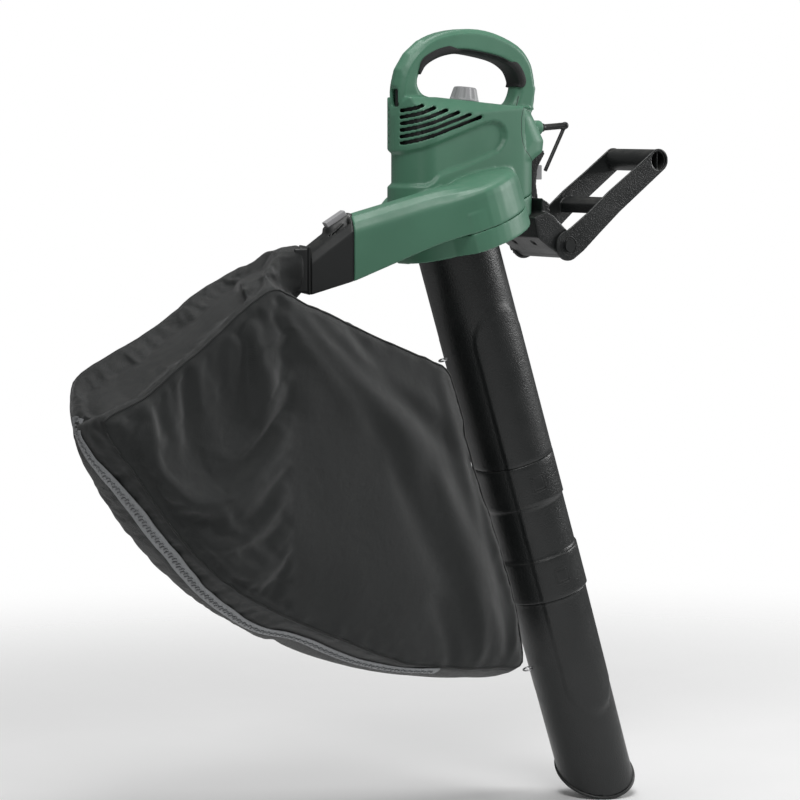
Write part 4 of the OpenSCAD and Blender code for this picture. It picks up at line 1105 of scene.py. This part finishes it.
class MULCHER_OT_bag(bpy.types.Operator):
    """The collecting bag: sewn, filled by a cloth simulation, and creased along its seams"""

    bl_idname = "mulcher.bag"
    bl_label = "Bag"

    def execute(self, context):
        s = context.scene.mulcher_bag
        mesh, near, far = bag_skin(s.bulge)
        mesh = rounded(mesh, 0.0075, 2)
        ob = place("bag_cloth", mesh, None, "Bag cloth")
        trees = line_tree(near), line_tree(far)
        neck_at, neck_dir = duct(118, 0, -36), DUCT_X
        held = ob.vertex_groups.new(name="held")
        seam = []
        for v in ob.data.vertices:
            v.co.y -= fold_depth(v.co)
            d = min(tree.find_nearest(v.co)[3] for tree in trees)
            seam.append(d)
            w = 0.85 * (1 - ramp((d - 0.004) / 0.014))
            if (v.co - neck_at).dot(neck_dir) < 0:
                w = 1.0
            held.add([v.index], max(w, 0.012), "REPLACE")
        start = [v.co.copy() for v in ob.data.vertices]
        mod = ob.modifiers.new("Cloth", "CLOTH")
        for key, value in (("quality", 5), ("mass", 0.25), ("tension_stiffness", 25),
                           ("compression_stiffness", 8), ("shear_stiffness", 6), ("bending_stiffness", 0.35),
                           ("tension_damping", 15), ("bending_damping", 2), ("use_pressure", True),
                           ("uniform_pressure_force", 1.6), ("shrink_min", -s.spare),
                           ("vertex_group_mass", "held"), ("pin_stiffness", 4.0)):
            setattr(mod.settings, key, value)
        mod.settings.effector_weights.gravity = 0.35
        mod.collision_settings.use_collision = False
        mod.collision_settings.use_self_collision = False
        mod.point_cache.frame_start = 1
        mod.point_cache.frame_end = 26
        scene = context.scene
        for f in range(1, 27):
            scene.frame_set(f)
        settle(ob)
        scene.frame_set(1)
        for v, p in zip(ob.data.vertices, start):
            move = v.co - p
            if move.length > MOVE_CAP:
                v.co = p + move.normalized() * MOVE_CAP
        noise.seed_set(s.seed)
        normals = [v.normal.copy() for v in ob.data.vertices]
        for v, d, nrm in zip(ob.data.vertices, seam, normals):
            x, y, z = v.co
            pucker = math.exp(-(d / 0.022) ** 2) * 0.0022
            crease = noise.noise(Vector((x * 55, y * 40, z * 55)))
            drawn = noise.noise(Vector((x * 14 + z * 6, y * 10, z * 9 - x * 5)))
            v.co += nrm * (pucker * crease * 1.3 + 0.0018 * drawn)
            v.co -= nrm * 0.0012 * math.exp(-(d / 0.005) ** 2)
        # an elastic gather round the neck
        for v in ob.data.vertices:
            along = (v.co * 1000 - DUCT_AT).dot(DUCT_X)
            if along < 125:
                rel = v.co * 1000 - DUCT_AT - DUCT_X * along - Vector((0, 0, -34))
                angle = math.atan2(rel.z, rel.dot(DUCT_Y))
                share = ramp((125 - along) / 25)
                v.co += (rel.normalized() * 0.001) * share * (1.3 * math.sin(26 * angle) - 1.0)
        sub = ob.modifiers.new("Finer", "SUBSURF")
        sub.levels = sub.render_levels = 1
        settle(ob)
        ob.data.shade_smooth()
        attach(ob, "machine")
        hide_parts("bag")
        skin = BVHTree.FromObject(ob, context.evaluated_depsgraph_get())
        for name, line in (("seam_near", near), ("seam_far", far)):
            bm = bmesh.new()
            points = []
            for p in line:
                hit, normal = skin.find_nearest(p)[:2]
                points.append(hit + normal * 0.0006)
            tube_along(bm, points, 0.0016, sides=6, closed=True)
            place(name, mesh_from(bm, name), "machine", "Seam piping")
        self.zip(skin, near, far, s.zip_width)
        return {"FINISHED"}

    def zip(self, skin, near, far, width):
        """Zip tape and its two rows of teeth, laid on the strip of the bag."""
        centre, across = [], []
        count = int((ZIP_TO - ZIP_FROM) * STEPS * 3)
        for j in range(count + 1):
            q = (ZIP_FROM + (ZIP_TO - ZIP_FROM) * j / count) * STEPS
            k, f = int(q), q - int(q)
            share = float(np.interp(j / count, ZIP_AT, ZIP_SHARE)) + 0.01 * math.sin(j * 0.83)
            a = gusset_point(near, far, k, share, 0.014).lerp(gusset_point(near, far, k + 1, share, 0.014), f)
            hit, normal = skin.find_nearest(a)[:2]
            centre.append(hit + normal * 0.0022)
            across.append(normal)
        for _ in range(9):
            centre[1:-1] = [(a + 2 * b + c) / 4 for a, b, c in zip(centre, centre[1:], centre[2:])]
            across[1:-1] = [(a + 2 * b + c).normalized() for a, b, c in zip(across, across[1:], across[2:])]
        n = len(centre)
        bm = bmesh.new()
        rings = []
        for j in range(n):
            along = (centre[min(j + 1, n - 1)] - centre[max(j - 1, 0)]).normalized()
            side = across[j].cross(along).normalized()
            up = across[j]
            rings.append([centre[j] + side * width * 0.5 * u + up * h for u, h in TAPE_SECTION])
        loft(bm, rings, ends=False)
        place("zip_tape", mesh_from(bm, "zip_tape"), "machine", "Zip tape")
        bm = bmesh.new()
        lengths = [0.0]
        for a, b in zip(centre, centre[1:]):
            lengths.append(lengths[-1] + (b - a).length)
        for m in range(int(lengths[-1] / TOOTH_PITCH)):
            at = m * TOOTH_PITCH
            j = max(0, min(n - 2, int(np.searchsorted(lengths, at, side="right")) - 1))
            t = (at - lengths[j]) / max(1e-9, lengths[j + 1] - lengths[j])
            p = centre[j].lerp(centre[j + 1], t)
            along = (centre[j + 1] - centre[j]).normalized()
            up = across[j]
            side = up.cross(along).normalized()
            sign = 1 if m % 2 else -1
            turn = Matrix((side, along, side.cross(along))).transposed().to_4x4()
            turn.translation = p + side * 0.0014 * sign + up * 0.0018
            bmesh.ops.create_cube(bm, size=1, matrix=turn @ Matrix.Diagonal((0.0078, 0.0030, 0.0030, 1)))
        bmesh.ops.bevel(bm, geom=bm.edges[:], offset=0.0005, offset_type="OFFSET", segments=1, profile=0.5,
                        affect="EDGES", material=-1)
        place("zip_teeth", mesh_from(bm, "zip_teeth"), "machine", "Zip teeth", smooth=False)


class MULCHER_OT_fittings(bpy.types.Operator):
    """Finishes of the screws, motor parts and other nodes that keep their own shape"""

    bl_idname = "mulcher.fittings"
    bl_label = "Fittings"

    def execute(self, context):
        by_slot = {
            "green_plastic": "Green housing", "black_plastic": "Black smooth", "pale_plastic": "Pale moulding",
            "soft_grip": "Soft grip", "bag_cloth": "Bag cloth", "steel": "Steel", "copper": "Copper",
            "carbon": "Carbon", "board": "Board",
        }
        slots = {p["node"]: p["material_slot"] for p in frame["record"]["subparts"]}
        for node, ob in frame["nodes"].items():
            finish = FINISH["Black smooth" if node in ("aux_pivot_bolt", "strap_pin") else by_slot[slots[node]]]
            if ob.data.materials:
                for k in range(len(ob.data.materials)):
                    ob.data.materials[k] = finish
            else:
                ob.data.materials.append(finish)
        return {"FINISHED"}


# ---- stage ----


def point_at(ob, target):
    """Turn a camera or a lamp to a point."""
    aim = Vector(target) - ob.location
    ob.rotation_euler = aim.to_track_quat("-Z", "Y").to_euler()


class MULCHER_OT_stage(bpy.types.Operator):
    """Camera, pale floor that fades out, and soft lights"""

    bl_idname = "mulcher.stage"
    bl_label = "Stage"

    def execute(self, context):
        s = context.scene.mulcher_stage
        scene = context.scene
        data = bpy.data.cameras.new("camera")
        data.lens = s.lens
        data.sensor_width = 36
        data.clip_end = 60
        camera = bpy.data.objects.new("camera", data)
        scene.collection.objects.link(camera)
        camera.location = (-2.9613, -4.0644, -0.1007)
        point_at(camera, (-0.1043, 0.0158, -0.5365))
        scene.camera = camera
        low = cad_box[0][2] - 0.001
        tree, shader = start_finish("Pale floor", 0.9, specular=0.1)
        cloud = use(tree, "Cloud", Size=0.8, Low=0.0, High=1.0)
        tree.links.new(mix(tree, cloud.outputs[0], (0.90, 0.90, 0.90, 1), (0.93, 0.93, 0.93, 1)),
                       shader.inputs["Base Color"])
        xyz = put(tree, "ShaderNodeSeparateXYZ", {0: put(tree, "ShaderNodeTexCoord").outputs["Object"]})
        flat = put(tree, "ShaderNodeCombineXYZ", {0: xyz.outputs[0], 1: xyz.outputs[1]})
        reach = put(tree, "ShaderNodeVectorMath", {0: flat.outputs[0]}, operation="LENGTH").outputs["Value"]
        tree.links.new(spread(tree, reach, 0.9, 2.6, 1.0, 0.0), shader.inputs["Alpha"])
        bm = bmesh.new()
        bmesh.ops.create_circle(bm, cap_ends=True, segments=96, radius=9)
        bmesh.ops.translate(bm, verts=bm.verts, vec=(0, 0, low))
        floor = bpy.data.objects.new("floor", mesh_from(bm, "floor", outward=False))
        scene.collection.objects.link(floor)
        floor.data.materials.append(FINISH["Pale floor"])
        for name, at, size, power in (
                ("key", (-1.5, -2.2, 3.0), 1.6, s.key * 1.15),
                ("rim_right", (2.6, -1.0, 0.5), 1.2, s.key * 0.6),
                ("top", (0.1, 0.3, 2.6), 1.6, s.key * 0.8),
                ("front", (-2.4, -4.3, 0.4), 1.6, s.key * 0.16)):
            light = bpy.data.lights.new(name, "AREA")
            light.energy = power
            light.size = size
            lamp = bpy.data.objects.new(name, light)
            scene.collection.objects.link(lamp)
            lamp.location = at
            point_at(lamp, (-0.1, 0, -0.5))
        world = bpy.data.worlds.new("surround")
        world.use_nodes = True
        back = world.node_tree.nodes["Background"]
        back.inputs[0].default_value = (1, 1, 1, 1)
        seen = put(world.node_tree, "ShaderNodeLightPath").outputs["Is Camera Ray"]
        strength = put(world.node_tree, "ShaderNodeMapRange", {0: seen, 1: 0.0, 2: 1.0, 3: s.sky, 4: 1.0})
        world.node_tree.links.new(strength.outputs[0], back.inputs[1])
        scene.world = world
        scene.view_settings.view_transform = "Standard"
        return {"FINISHED"}


class MULCHER_PT_panel(bpy.types.Panel):
    """The pieces of the leaf vacuum, in the order they are made"""

    bl_idname = "MULCHER_PT_panel"
    bl_label = "Leaf vacuum"
    bl_space_type = "VIEW_3D"
    bl_region_type = "UI"
    bl_category = "Mulcher"

    def draw(self, context):
        for group_name in ("mulcher_finish", "mulcher_mould", "mulcher_bag", "mulcher_stage"):
            settings = getattr(context.scene, group_name)
            box = self.layout.box()
            for key in settings.__annotations__:
                box.prop(settings, key)
        for op in OPERATORS:
            self.layout.operator(op.bl_idname)


SETTINGS = {
    "mulcher_finish": FinishSettings, "mulcher_mould": MouldSettings,
    "mulcher_bag": BagSettings, "mulcher_stage": StageSettings,
}
OPERATORS = (
    MULCHER_OT_finishes, MULCHER_OT_stage, MULCHER_OT_fittings, MULCHER_OT_housing, MULCHER_OT_intake,
    MULCHER_OT_controls, MULCHER_OT_second_handle, MULCHER_OT_tube, MULCHER_OT_adapter, MULCHER_OT_bag,
)


def register():
    for c in (*SETTINGS.values(), *OPERATORS, MULCHER_PT_panel):
        bpy.utils.register_class(c)
    for name, c in SETTINGS.items():
        setattr(bpy.types.Scene, name, bpy.props.PointerProperty(type=c))


def unregister():
    for name in SETTINGS:
        delattr(bpy.types.Scene, name)
    for c in reversed((*SETTINGS.values(), *OPERATORS, MULCHER_PT_panel)):
        bpy.utils.unregister_class(c)


def main():
    register()
    for op in OPERATORS:
        area, name = op.bl_idname.split(".")
        getattr(getattr(bpy.ops, area), name)()


if __name__ == "__main__":
    main()
